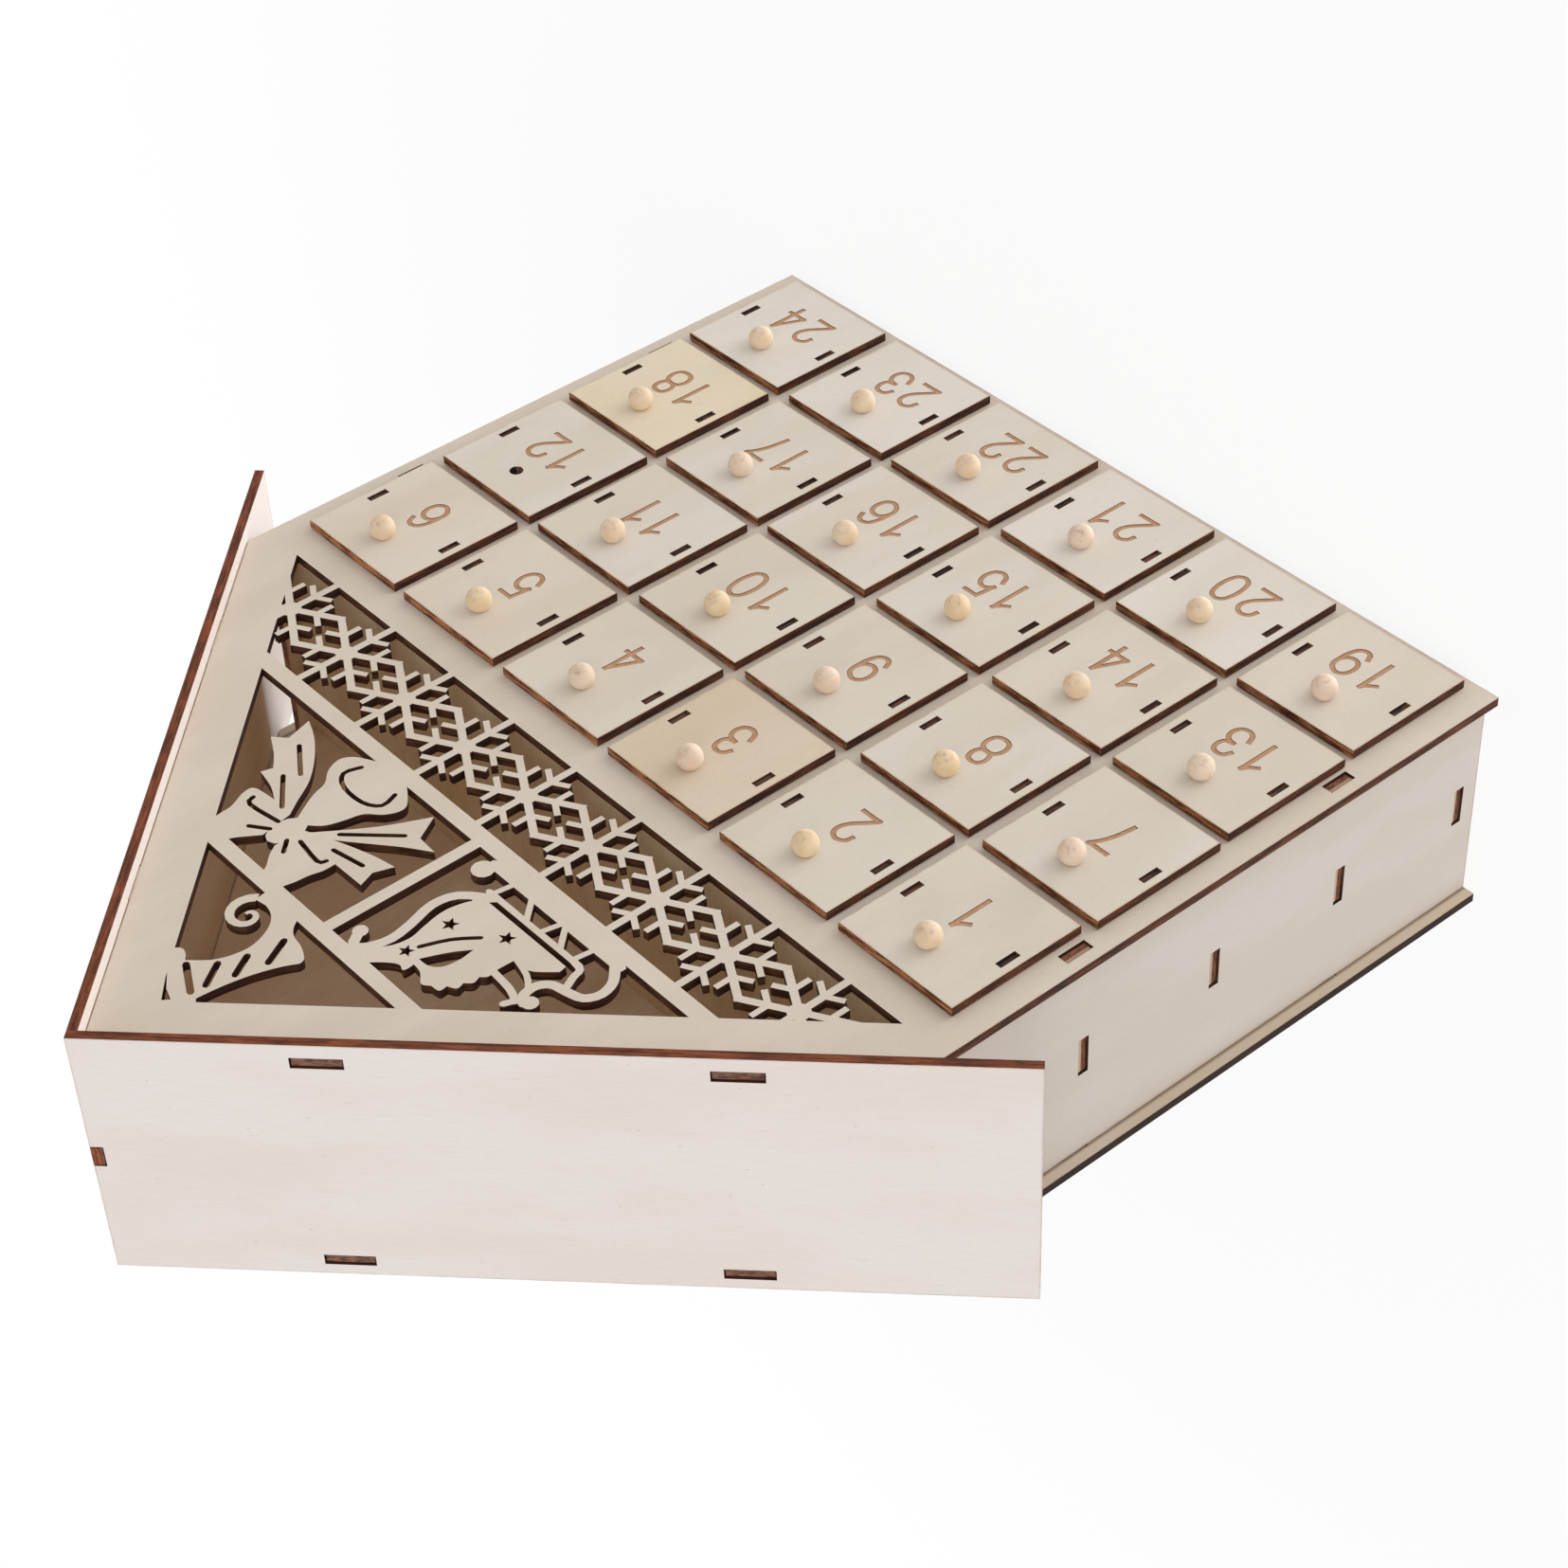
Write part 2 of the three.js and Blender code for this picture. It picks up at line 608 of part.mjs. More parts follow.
function shelf(level) {
  const half = shelfTab / 2;
  const tabEnd = wallInset + tabRecess;
  const rightTab = [
    mirrored([wallInner, midDepth - half]), mirrored([tabEnd, midDepth - half]),
    mirrored([tabEnd, midDepth + half]), mirrored([wallInner, midDepth + half]),
  ];
  const shape = outlineShape([
    [wallInner, sheet], mirrored([wallInner, sheet]), ...rightTab,
    mirrored([wallInner, sheet + innerDepth]), [wallInner, sheet + innerDepth],
    ...rightTab.toReversed().map(mirrored),
  ]);
  const name = level === 0 ? "floor_board" : level === rows ? "attic_floor" : `shelf_${level}`;
  const mesh = meshOf(name, extrude(shape, sheet), materials.inside);
  mesh.position.z = shelfTops[level] - sheet;
  return mesh;
}

// Roof sheets, drawn up the slope from the eave corner and in depth.
// The left sheet caps the right one, whose tab shows in a notch at the ridge.

const ridgeLap = sheet / Math.sin(2 * roofAngle);
const ridgeTrim = Math.max(0, (roofGap + sheet) / Math.tan(2 * roofAngle));

function roofSheet(name, side) {
  const turn = side === "left" ? 1 : -1;
  const front = -frontProud * turn;
  const back = (houseDepth + backProud) * turn;
  const centre = midDepth * turn;
  const top = side === "left" ? slopeLength + roofGap + ridgeLap : slopeLength - ridgeTrim;
  const tabHalf = ridgeTab / 2;
  const notchHalf = (tabHalf + slotClearance) * turn;
  const lowEdge = [[-roofOverhang, back], [-roofOverhang, front]];
  const ridgeStep = side === "left"
    ? [[top, centre - notchHalf], [slopeLength - slotClearance, centre - notchHalf],
      [slopeLength - slotClearance, centre + notchHalf], [top, centre + notchHalf]]
    : [[top, centre + tabHalf], [slopeLength + roofGap + sheet, centre + tabHalf],
      [slopeLength + roofGap + sheet, centre - tabHalf], [top, centre - tabHalf]];
  const slots = [0, houseDepth - sheet].flatMap((panelFront) => roofTabCentres.map((tab) => {
    const half = roofTab / 2 + slotClearance;
    const near = (panelFront - slotClearance) * turn;
    const far = (panelFront + sheet + slotClearance) * turn;
    return rectangle(tab - half, near, tab + half, far);
  }));
  const solid = cutSheet([...lowEdge, [top, front], ...ridgeStep, [top, back]], slots);
  const mesh = meshOf(name, toGeometry(solid).translate(0, 0, roofGap), materials.roof);
  if (side === "left") mesh.rotation.y = -roofAngle;
  else mesh.rotation.set(0, roofAngle, Math.PI);
  mesh.position.set(side === "left" ? 0 : houseWidth, 0, eaveHeight);
  return mesh;
}

// Drawers: x from the drawer's middle, y from the front panel's face, z from the top of the shelf

const frontFace = -frontGap - sheet;
const frontMiddle = frontHeight / 2 - frontDrop;
const knobHeight = frontMiddle + knobRise;

// The tray's sides end in tabs, which show in the front as two shallow slots.
function drawerGeometry() {
  const half = frontWidth / 2;
  const trayHalf = trayWidth / 2;
  const trayInner = trayHalf - traySheet;
  const trayTop = trayLift + trayHeight;
  const glued = -frontGap - joinDepth;
  const hole = discPoints([0, knobHeight], pegRadius + pegClearance);
  const board = cutSheet(rectangle(-half, -frontDrop, half, frontHeight - frontDrop), [hole]);
  const slots = [-trayHalf, trayInner].map((x) => {
    const slot = rectangle(x, frontMiddle - trayTab / 2, x + traySheet, frontMiddle + trayTab / 2);
    const depth = trayTabRecess + overrun;
    return toSolid(extrude(outlineShape(slot), depth).translate(0, 0, sheet - trayTabRecess));
  });
  const slotted = toGeometry(board.subtract(join(slots)));
  const front = toSolid(slotted.rotateX(Math.PI / 2).translate(0, -frontGap, 0));
  const tray = box(-trayHalf, glued, trayLift, trayHalf, trayDepth, trayTop).subtract(
    box(-trayInner, glued - overrun, trayLift + traySheet, trayInner, trayDepth - traySheet, trayTop + overrun),
  );
  return toGeometry(front.add(refreshed(tray)));
}

// Ball with a flat where it sits on the drawer front, and a peg that fills the front's thickness.
function knobGeometry() {
  const ballCentre = frontFace - (knobRadius - knobFlat);
  const flatAngle = Math.acos((knobRadius - knobFlat) / knobRadius);
  const profile = [[0, frontFace - knobOut]];
  for (let ring = 1; ring <= knobRings; ring += 1) {
    const angle = Math.PI - (ring / knobRings) * (Math.PI - flatAngle);
    profile.push([knobRadius * Math.sin(angle), ballCentre + knobRadius * Math.cos(angle)]);
  }
  profile.push([pegRadius, frontFace], [pegRadius, -frontGap], [0, -frontGap]);
  return new THREE.LatheGeometry(profile.map(([r, y]) => new THREE.Vector2(r, y)), knobSides);
}

const house = new THREE.Group();
const frontReach = Math.max(frontProud, frontGap + sheet + knobOut);
house.position.set(-middle, (frontReach - houseDepth - backProud) / 2, 0);

house.add(
  standing("front_panel", frontPanel(), materials.panel, sheet),
  standing("back_panel", toGeometry(panelSolid([])), materials.panel, houseDepth),
  wall("left_wall", wallInset),
  wall("right_wall", houseWidth - wallInner),
  roofSheet("left_roof", "left"),
  roofSheet("right_roof", "right"),
);

shelfTops.forEach((_, level) => house.add(shelf(level)));

const drawer = drawerGeometry();
const knob = knobGeometry();
for (const { number, x, shelfTop, drift } of drawerPlaces) {
  const label = String(number).padStart(2, "0");
  const place = new THREE.Group();
  place.position.set(x + drift, 0, shelfTop);
  place.add(meshOf(`drawer_${label}`, drawer, materials.drawer));
  if (number !== numberOfBareDrawer) {
    const ball = meshOf(`knob_${label}`, knob, materials.knob);
    ball.position.z = knobHeight;
    place.add(ball);
  }
  house.add(place);
}

export default house;
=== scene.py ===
"""Dresses a wooden house advent calendar: its drawers with engraved numbers, its knobs and its bare plywood.

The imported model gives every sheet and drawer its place. Lengths are in millimetres until a mesh is made.
The house faces -Y and stands on z = 0.
"""

from __future__ import annotations

import logging
import math
from dataclasses import dataclass, field
from enum import Enum
from functools import cached_property, reduce
from typing import Any, Sequence

import bmesh
import bpy
import numpy as np
from mathutils import Matrix, Vector

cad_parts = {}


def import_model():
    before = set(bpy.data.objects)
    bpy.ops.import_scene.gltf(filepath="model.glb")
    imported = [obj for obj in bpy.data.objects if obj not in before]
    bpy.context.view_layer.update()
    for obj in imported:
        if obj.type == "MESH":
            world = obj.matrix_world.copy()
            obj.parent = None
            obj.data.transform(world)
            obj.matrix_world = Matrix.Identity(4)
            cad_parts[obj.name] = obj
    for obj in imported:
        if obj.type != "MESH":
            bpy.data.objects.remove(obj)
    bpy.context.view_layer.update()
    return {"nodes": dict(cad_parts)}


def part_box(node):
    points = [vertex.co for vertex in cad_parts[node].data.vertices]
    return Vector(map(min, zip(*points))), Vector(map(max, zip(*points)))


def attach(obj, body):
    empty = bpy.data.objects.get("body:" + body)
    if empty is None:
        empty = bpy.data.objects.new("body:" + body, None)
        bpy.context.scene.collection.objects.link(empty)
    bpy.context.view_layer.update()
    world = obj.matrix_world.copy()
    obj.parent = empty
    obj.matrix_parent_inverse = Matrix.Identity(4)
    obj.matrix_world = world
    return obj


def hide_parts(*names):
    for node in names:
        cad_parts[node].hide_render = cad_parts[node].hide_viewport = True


log = logging.getLogger("house")

MM = 0.001
NUMBERS = range(1, 25)
COLUMNS = 6
BARE_DRAWER = 12
CORNERS = np.array([[-1, -1], [1, -1], [1, 1], [-1, 1]], float)
X, Y, Z = Vector((1, 0, 0)), Vector((0, 1, 0)), Vector((0, 0, 1))

Pair, Triple = tuple[float, float], tuple[float, float, float]
Colour = tuple[float, float, float, float]
Rims = Sequence[tuple[Vector, float]]
Material, Piece = bpy.types.Material, bpy.types.Object
Solid = tuple[np.ndarray, list[list[int]]]
Board = tuple[np.ndarray, list[list[int]], list[int]]


def linear(red: int, green: int, blue: int) -> Colour:
    """Turns a colour of 0 to 255, as it should render, into the light values that a socket takes.

    Formula: a share below 0.04045 is divided by 12.92, any other is ((share + 0.055) / 1.055) to the 2.4.
    """
    shares = [part / 255 for part in (red, green, blue)]
    return (*(s / 12.92 if s <= 0.04045 else ((s + 0.055) / 1.055) ** 2.4 for s in shares), 1.0)


class Wire:
    """A node's output socket. Python's operators on it add Math nodes."""

    def __init__(self, graph: Graph, socket: bpy.types.NodeSocket) -> None:
        """Keeps the graph and the socket."""
        self.graph, self.socket = graph, socket

    def __add__(self, other: Operand) -> Wire:
        """Sum."""
        return self.graph.math("ADD", self, other)

    def __sub__(self, other: Operand) -> Wire:
        """Difference."""
        return self.graph.math("SUBTRACT", self, other)

    def __rsub__(self, other: Operand) -> Wire:
        """Difference from a number."""
        return self.graph.math("SUBTRACT", other, self)

    def __mul__(self, other: Operand) -> Wire:
        """Product."""
        return self.graph.math("MULTIPLY", self, other)

    def __truediv__(self, other: Operand) -> Wire:
        """Quotient."""
        return self.graph.math("DIVIDE", self, other)

    def __rtruediv__(self, other: Operand) -> Wire:
        """Quotient of a number."""
        return self.graph.math("DIVIDE", other, self)

    def __pow__(self, other: Operand) -> Wire:
        """Power."""
        return self.graph.math("POWER", self, other)

    def __rpow__(self, other: Operand) -> Wire:
        """Power of a number."""
        return self.graph.math("POWER", other, self)

    def __abs__(self) -> Wire:
        """Size without sign."""
        return self.graph.math("ABSOLUTE", self)

    def least(self, other: Operand) -> Wire:
        """The smaller of two values."""
        return self.graph.math("MINIMUM", self, other)

    def most(self, other: Operand) -> Wire:
        """The larger of two values."""
        return self.graph.math("MAXIMUM", self, other)

    def rise(self, low: float, high: float) -> Wire:
        """A smooth step from 0 at low to 1 at high, or down where low is above high."""
        ends = {1: min(low, high), 2: max(low, high), 3: float(low >= high), 4: float(low < high)}
        return self.graph.node("ShaderNodeMapRange", {"interpolation_type": "SMOOTHSTEP"}, {0: self, **ends})

    __radd__ = __add__
    __rmul__ = __mul__


Operand = Wire | float
Value = Wire | float | tuple | Vector


class Graph:
    """The node tree of a material, or of the world."""

    def __init__(self, name: str, world: bool = False) -> None:
        """Starts an empty material or world of that name."""
        self.owner = (bpy.data.worlds if world else bpy.data.materials).new(name)
        self.owner.use_nodes = True
        self.tree = self.owner.node_tree
        self.tree.nodes.clear()

    def node(self, kind: str, settings: dict[str, Any], inputs: dict[int | str, Value],
             output: int | str = 0) -> Wire:
        """Adds a node of any kind.

        Args:
            kind: The node's type.
            settings: Its properties, which are set first.
            inputs: For each socket, by place or name, a value or a wire.
            output: Which output is wanted, by place or name.

        Returns:
            That output.
        """
        node = self.tree.nodes.new(kind)
        for key, value in settings.items():
            setattr(node, key, value)
        for key, value in inputs.items():
            if isinstance(value, Wire):
                self.tree.links.new(value.socket, node.inputs[key])
            else:
                node.inputs[key].default_value = value
        return Wire(self, node.outputs[output])

    def close(self, kind: str, shader: Wire) -> None:
        """Ends the tree in an output node of that kind."""
        self.tree.links.new(shader.socket, self.tree.nodes.new(kind).inputs[0])

    def math(self, operation: str, *operands: Operand) -> Wire:
        """The result of a Math node."""
        return self.node("ShaderNodeMath", {"operation": operation}, dict(enumerate(operands)))

    @cached_property
    def place(self) -> Wire:
        """The place on the object in millimetres."""
        where = self.node("ShaderNodeTexCoord", {}, {}, "Object")
        return self.node("ShaderNodeVectorMath", {"operation": "SCALE"}, {0: where, "Scale": 1 / MM})

    @cached_property
    def normal(self) -> Wire:
        """The way a flat face points."""
        return self.node("ShaderNodeNewGeometry", {}, {}, "True Normal")

    def dot(self, vector: Wire, axis: Vector) -> Wire:
        """The part of a vector along an axis."""
        return self.node("ShaderNodeVectorMath", {"operation": "DOT_PRODUCT"}, {0: vector, 1: axis}, "Value")

    def along(self, axis: Vector) -> Wire:
        """The place along an axis, in millimetres."""
        return self.dot(self.place, axis)

    def facing(self, axis: Vector) -> Wire:
        """How much a flat face points along an axis, from -1 to 1."""
        return self.dot(self.normal, axis)

    def combined(self, x: Operand, y: Operand, z: Operand) -> Wire:
        """A vector of three values."""
        return self.node("ShaderNodeCombineXYZ", {}, {0: x, 1: y, 2: z})

    def noise(self, vector: Wire, layers: float = 3.0, rough: float = 0.6, scale: float = 1.0) -> Wire:
        """Soft noise around a half, with so many finer layers of that strength."""
        inputs = {"Vector": vector, "Scale": scale, "Detail": layers, "Roughness": rough}
        return self.node("ShaderNodeTexNoise", {}, inputs)

    def mix(self, share: Operand, first: Value, second: Value) -> Wire:
        """A blend of two colours, from the first at 0 to the second at 1."""
        return self.node("ShaderNodeMix", {"data_type": "RGBA"}, {0: share, 6: first, 7: second}, 2)

    def inset(self, rims: Rims) -> Wire:
        """How far the place lies within straight sides: the least of each side's place less its own."""
        return reduce(Wire.least, [limit - self.along(direction) for direction, limit in rims])

    def finish(self, surface: Surface, depth: float, strength: float, glow: float = 0.0) -> Material:
        """Closes the material with one plain surface.

        Args:
            surface: Its colour, roughness and relief, about 0 to 1.
            depth: The relief's depth in millimetres.
            strength: How strongly it shows.
            glow: How much light spreads beneath the surface.

        Returns:
            The material.
        """
        relief = {"Strength": strength, "Distance": depth * MM, "Height": surface.height}
        shader = self.node("ShaderNodeBsdfPrincipled", {}, {
            "Base Color": surface.colour, "Roughness": surface.roughness, "Specular IOR Level": 0.3,
            "Subsurface Weight": glow, "Subsurface Radius": (1.0, 0.7, 0.45), "Subsurface Scale": 2.5 * MM,
            "Normal": self.node("ShaderNodeBump", {}, relief)})
        self.close("ShaderNodeOutputMaterial", shader)
        return self.owner


@dataclass(frozen=True)
class Surface:
    """What one finish gives at a point."""

    colour: Wire
    roughness: Wire
    height: Wire


@dataclass(frozen=True)
class BareWood:
    """The sanded face of a birch plywood sheet."""

    pale: Colour
    warm: Colour
    shade: Colour = linear(176, 150, 118)
    pore: Colour = linear(150, 118, 84)
    mottle: float = 0.6
    fibre: float = 0.1
    cloud: float = 0.3
    pores: float = 0.22
    roughness: float = 0.62

    def at(self, graph: Graph, grain: Vector, across: Vector, seed: float) -> Surface:
        """Works out the wood at a place.

        Colour: pale and warm areas drift along the grain, fibres and pores darken thin lines of it.

        Args:
            graph: The material's graph.
            grain: The direction of the grain.
            across: The direction across it.
            seed: Moves the pattern, so that two sheets differ.

        Returns:
            Its colour, roughness and relief.
        """
        along = graph.along(grain) + seed * 37.0
        side = graph.along(across) + seed * 11.0
        rest = graph.along(grain.cross(across))

        def stretched(length: float, width: float) -> Wire:
            """Coordinates in which one unit is that long along the grain and that wide across it."""
            return graph.combined(along / length, side / width, rest / width)

        area = graph.noise(stretched(85.0, 24.0), rough=0.5)
        colour = graph.mix(area.rise(0.36, 0.66) * self.mottle, self.pale, self.warm)
        fine = graph.noise(stretched(9.0, 0.55))
        colour = graph.mix(fine.rise(0.45, 0.8) * self.fibre, colour, self.shade)
        cloud = graph.noise(stretched(5.0, 3.2), rough=0.7)
        colour = graph.mix(cloud.rise(0.5, 0.8) * self.cloud, colour, self.warm)
        dash = graph.noise(stretched(2.6, 0.2), layers=1.0, rough=0.5)
        pore = dash.rise(0.68, 0.76) * self.pores
        colour = graph.mix(pore, colour, self.pore)
        cells = {"Vector": stretched(9.0, 7.0), "Scale": 1.0}
        dot = graph.node("ShaderNodeTexVoronoi", {}, cells, "Distance")
        colour = graph.mix(dot.rise(0.055, 0.03) * self.pores, colour, self.pore)
        roughness = self.roughness + fine * 0.16 - 0.08
        return Surface(colour, roughness, fine * 0.4 + cloud * 0.8 - pore)


@dataclass(frozen=True)
class LaserEdge:
    """A cut edge, burnt brown by the laser, with the plies showing through as thin lines."""

    dark: Colour = linear(38, 17, 9)
    brown: Colour = linear(106, 53, 29)
    tan: Colour = linear(186, 128, 84)
    lift: float = 0.1
    streaks: float = 0.6
    patches: float = 0.45
    # How strongly painted shade darkens edges that face left (-X).
    left: float = 0.5
    roughness: float = 0.7

    def at(self, graph: Graph, axis: Vector, grain: Vector, middle: float, seed: float) -> Surface:
        """Works out the edge at a place.

        Colour: brown streaks on dark, with painted shade on edges that face left, and painted light on edges
        that face up, which turn browner with tan lines along the plies.

        Args:
            graph: The material's graph.
            axis: The direction through the sheet.
            grain: The direction of the sheet's grain.
            middle: The sheet's middle along it.
            seed: Moves the pattern.

        Returns:
            Its colour, roughness and relief.
        """
        through = graph.along(axis) - middle
        along, side = graph.along(grain), graph.along(axis.cross(grain))

        def layered(length: float, thickness: float) -> Wire:
            """Coordinates in which one unit is that long along the edge and that thick through it."""
            return graph.combined(along / length + seed, side / length, through / thickness)

        patch = graph.noise(layered(13.0, 4.0), layers=4.0, rough=0.65).rise(0.4, 0.62)
        line = graph.noise(layered(9.0, 0.85), rough=0.65)
        seam = graph.noise(layered(18.0, 0.6), layers=2.0, rough=0.5)
        grit = graph.noise(layered(0.7, 0.45), layers=2.0)
        # Painted light and shade by the way an edge faces: edges facing up turn browner with more tan lines,
        # edges facing left turn darker.
        painted_top_light, painted_left_shade = graph.facing(Z).rise(0.1, 0.8), graph.facing(-X).rise(0.5, 0.95)
        brown = patch * self.patches + line.rise(0.42, 0.58) * self.streaks + painted_top_light * 0.35 + self.lift
        colour = graph.mix((brown * (1 - painted_left_shade * self.left)).least(1.0), self.dark, self.brown)
        share = line.rise(0.42, 0.58) * (patch * 0.5 + 0.5) * (painted_top_light * 1.1 + self.lift)
        colour = graph.mix(share.least(0.85), colour, self.tan)
        colour = graph.mix(seam.rise(0.54, 0.64) * 0.65, colour, self.dark)
        colour = graph.mix(grit.rise(0.55, 0.75) * 0.4, colour, self.dark)
        return Surface(colour, self.roughness + grit * 0.1, line + grit * 0.5)

    def material(self, name: str, axis: Vector, middle: float, seed: float) -> Material:
        """Makes the material of cut edges alone, on boards with upright grain."""
        graph = Graph(name)
        return graph.finish(self.at(graph, axis, Z, middle, seed), depth=0.15, strength=0.4)


class Tone(Enum):
    """How a drawer front is tinted, with its pale and warm colours."""

    CREAM = (linear(217, 208, 196), linear(209, 197, 179))
    TAN = (linear(213, 197, 176), linear(205, 184, 155))
    YELLOW = (linear(223, 209, 184), linear(217, 196, 158))
    WARM = (linear(217, 205, 191), linear(210, 193, 171))
    WHITE = (linear(215, 205, 191), linear(207, 194, 175))
    PALE = (linear(221, 213, 203), linear(213, 203, 188))


class Bead(Enum):
    """How a knob is tinted, with its pale and warm colours."""

    CREAM = (linear(231, 210, 183), linear(224, 199, 167))
    PINK = (linear(231, 211, 191), linear(224, 200, 177))
    YELLOW = (linear(231, 209, 174), linear(224, 198, 158))


def by_number(toned: dict[Enum, tuple[int, ...]]) -> dict[int, Enum]:
    """Turns the drawers of each tint into the tint of each drawer."""
    return {number: tint for tint, numbers in toned.items() for number in numbers}


PLATE_TONES = by_number({Tone.TAN: (3,), Tone.YELLOW: (18,), Tone.WARM: (5, 6),
                         Tone.WHITE: (1, 2, 4, 9, 10, 13, 14, 19), Tone.PALE: (20, 21, 23, 24)})
BEAD_TONES = by_number({Bead.YELLOW: (2, 5, 8, 10, 15), Bead.PINK: (3, 4, 7, 9, 13, 17, 19, 21)})


@dataclass(frozen=True)
class Scorch:
    """The browning of a face along its cut outline."""

    tint: Colour = linear(170, 132, 90)
    reach: float = 0.8
    strength: float = 0.5

    def over(self, graph: Graph, colour: Wire, rim: Wire) -> Wire:
        """Browns a face, with the square of the nearness to its outline.

        Args:
            graph: The material's graph.
            colour: The bare colour.
            rim: How far the place lies within the outline.

        Returns:
            The colour with its scorch.
        """
        smoke = graph.noise(graph.place, scale=0.2).rise(0.3, 0.7)
        share = rim.rise(self.reach, 0.0) ** 2.0 * (smoke * 0.7 + 0.3) * self.strength
        return graph.mix(share, colour, self.tint)


@dataclass(frozen=True)
class SheetFinish:
    """A plywood sheet: bare faces with scorched rims, a warmer and lighter painted light on the side that
    looks into the house, and burnt edges.
    """

    wood: BareWood
    edge: LaserEdge
    axis: Vector
    grain: Vector
    inward: Vector
    rims: Rims
    tab: Colour
    # How strongly a pale band of painted light shows across the ends of tabs.
    lip: float = 0.0
    # Where the dark joint line beside a wall starts, from the middle along x, or 0 for none.
    seam: float = 0.0
    # Painted light: a warmer, lighter wood colour for faces on the side that looks into the house, standing
    # in for warm light bounced about inside it.
    indoors: BareWood = BareWood(linear(243, 219, 190), linear(230, 198, 165), mottle=0.9, fibre=0.3)
    scorch: Scorch = Scorch()
    # The pale colour of the painted light on the ends of tabs.
    bare: Colour = linear(212, 188, 156)
    seam_tint: Colour = linear(92, 74, 54)
    walls: Pair = (149.2, 148.9)
    front: Pair = (-33.6, -33.3)
    rear: Pair = (39.8, 39.7)

    def inside(self, graph: Graph) -> Wire:
        """1 on the side that looks into the house, between its walls, its front panel and its back panel:
        where the painted light of the inner side goes.
        """
        x, y = abs(graph.along(X)), graph.along(Y)
        return (x.rise(*self.walls) * y.rise(*self.front) * y.rise(*self.rear)
                * graph.facing(self.inward).rise(0.5, 0.7))

    def burnt(self, graph: Graph, edge: Surface, rim: Wire, middle: float, seed: float) -> Wire:
        """The colour of the cut edges: darker in cut-outs, and with a pale band of painted light on the ends
        of tabs.

        Args:
            graph: The material's graph.
            edge: The edge's own finish.
            rim: How far the place lies within the outline; it is below 0 on the ends of tabs.
            middle: The sheet's middle along its axis.
            seed: Moves the pattern.

        Returns:
            The colour.
        """
        colour = graph.mix(rim.rise(0.6, 1.6) * 0.75, edge.colour, self.edge.dark)
        through, side = graph.along(self.axis), graph.along(self.axis.cross(self.grain))
        streak = graph.noise(graph.combined(through / 0.9, graph.along(self.grain) / 3.0, side / 3.0 + seed))
        # Painted light: a pale band across part of each tab end's thickness, standing in for light reaching
        # it beside the tab in its slot.
        layer = through - middle
        high = layer.rise(0.1, 0.4) * layer.rise(1.3, 1.1) * self.lip
        end = graph.mix(high, graph.mix(streak.rise(0.38, 0.66) * 0.75, self.tab, self.edge.dark), self.bare)
        return graph.mix(rim.rise(-0.4, -0.8), colour, end)

    def material(self, name: str, middle: float, seed: float) -> Material:
        """Makes the sheet's material, which tells faces from edges by the way they point.

        Args:
            name: The material's name.
            middle: The sheet's middle along its axis.
            seed: Moves its patterns.

        Returns:
            The material.
        """
        graph = Graph(name)
        rim, across = graph.inset(self.rims), self.axis.cross(self.grain)
        flat = abs(graph.facing(self.axis)).rise(0.85, 0.95)
        face = self.wood.at(graph, self.grain, across, seed)
        painted_indoor_colour = self.indoors.at(graph, self.grain, across, seed)
        edge = self.edge.at(graph, self.axis, self.grain, middle, seed)
        # Faces on the side that looks into the house take the painted-light colour in place of the bare wood.
        colour = self.scorch.over(graph, graph.mix(self.inside(graph), face.colour, painted_indoor_colour.colour), rim)
        # A dark line on the back panel beside each wall's outer face: glue at the joint, darkened further by
        # painted shade in the corner.
        if self.seam > 0:
            beyond = abs(graph.along(X)) - self.seam
            colour = graph.mix(beyond.rise(-0.2, 0.0) * beyond.rise(1.5, 0.3) * 0.7, colour, self.seam_tint)
        colour = graph.mix(flat, self.burnt(graph, edge, rim, middle, seed), colour)
        roughness = edge.roughness * (1 - flat) + face.roughness * flat
        height = edge.height * (1 - flat) + face.height * flat
        return graph.finish(Surface(colour, roughness, height), depth=0.1, strength=0.3)


def made(name: str, materials: Sequence[Material], vertices: np.ndarray, faces: list[list[int]],
         kinds: Sequence[int] = (), smooth: bool = False) -> Piece:
    """Makes an object of a closed mesh whose faces point outwards.

    Args:
        name: The piece's name.
        materials: Its materials.
        vertices: Its corners in millimetres, one row each.
        faces: The corners of each face.
        kinds: For each face, which of them it takes.
        smooth: Whether its faces shade as one round surface.

    Returns:
        The object, at the origin.
    """
    mesh = bpy.data.meshes.new(name)
    mesh.from_pydata((vertices * MM).tolist(), [], faces)
    for material in materials:
        mesh.materials.append(material)
    if len(kinds):
        mesh.polygons.foreach_set("material_index", np.asarray(kinds, np.int32))
    shell = bmesh.new()
    shell.from_mesh(mesh)
    bmesh.ops.remove_doubles(shell, verts=shell.verts, dist=0.001 * MM)
    bmesh.ops.recalc_face_normals(shell, faces=shell.faces)
    shell.to_mesh(mesh)
    shell.free()
    mesh.polygons.foreach_set("use_smooth", np.full(len(mesh.polygons), smooth))
    piece = bpy.data.objects.new(name, mesh)
    bpy.context.scene.collection.objects.link(piece)
    return piece


def grid_faces(rows: int, columns: int, round_rows: bool = False) -> list[list[int]]:
    """The four-sided faces of a grid of points whose columns close into rings.

    Args:
        rows: How many rings there are.
        columns: How many points each has.
        round_rows: Whether the last ring joins the first.

    Returns:
        The corners of each face.
    """
    row, column = np.meshgrid(np.arange(rows if round_rows else rows - 1), np.arange(columns), indexing="ij")
    here, there = row * columns, (row + 1) % rows * columns
    beside = (column + 1) % columns
    corners = np.stack([here + column, here + beside, there + beside, there + column], axis=-1)
    return corners.reshape(-1, 4).tolist()


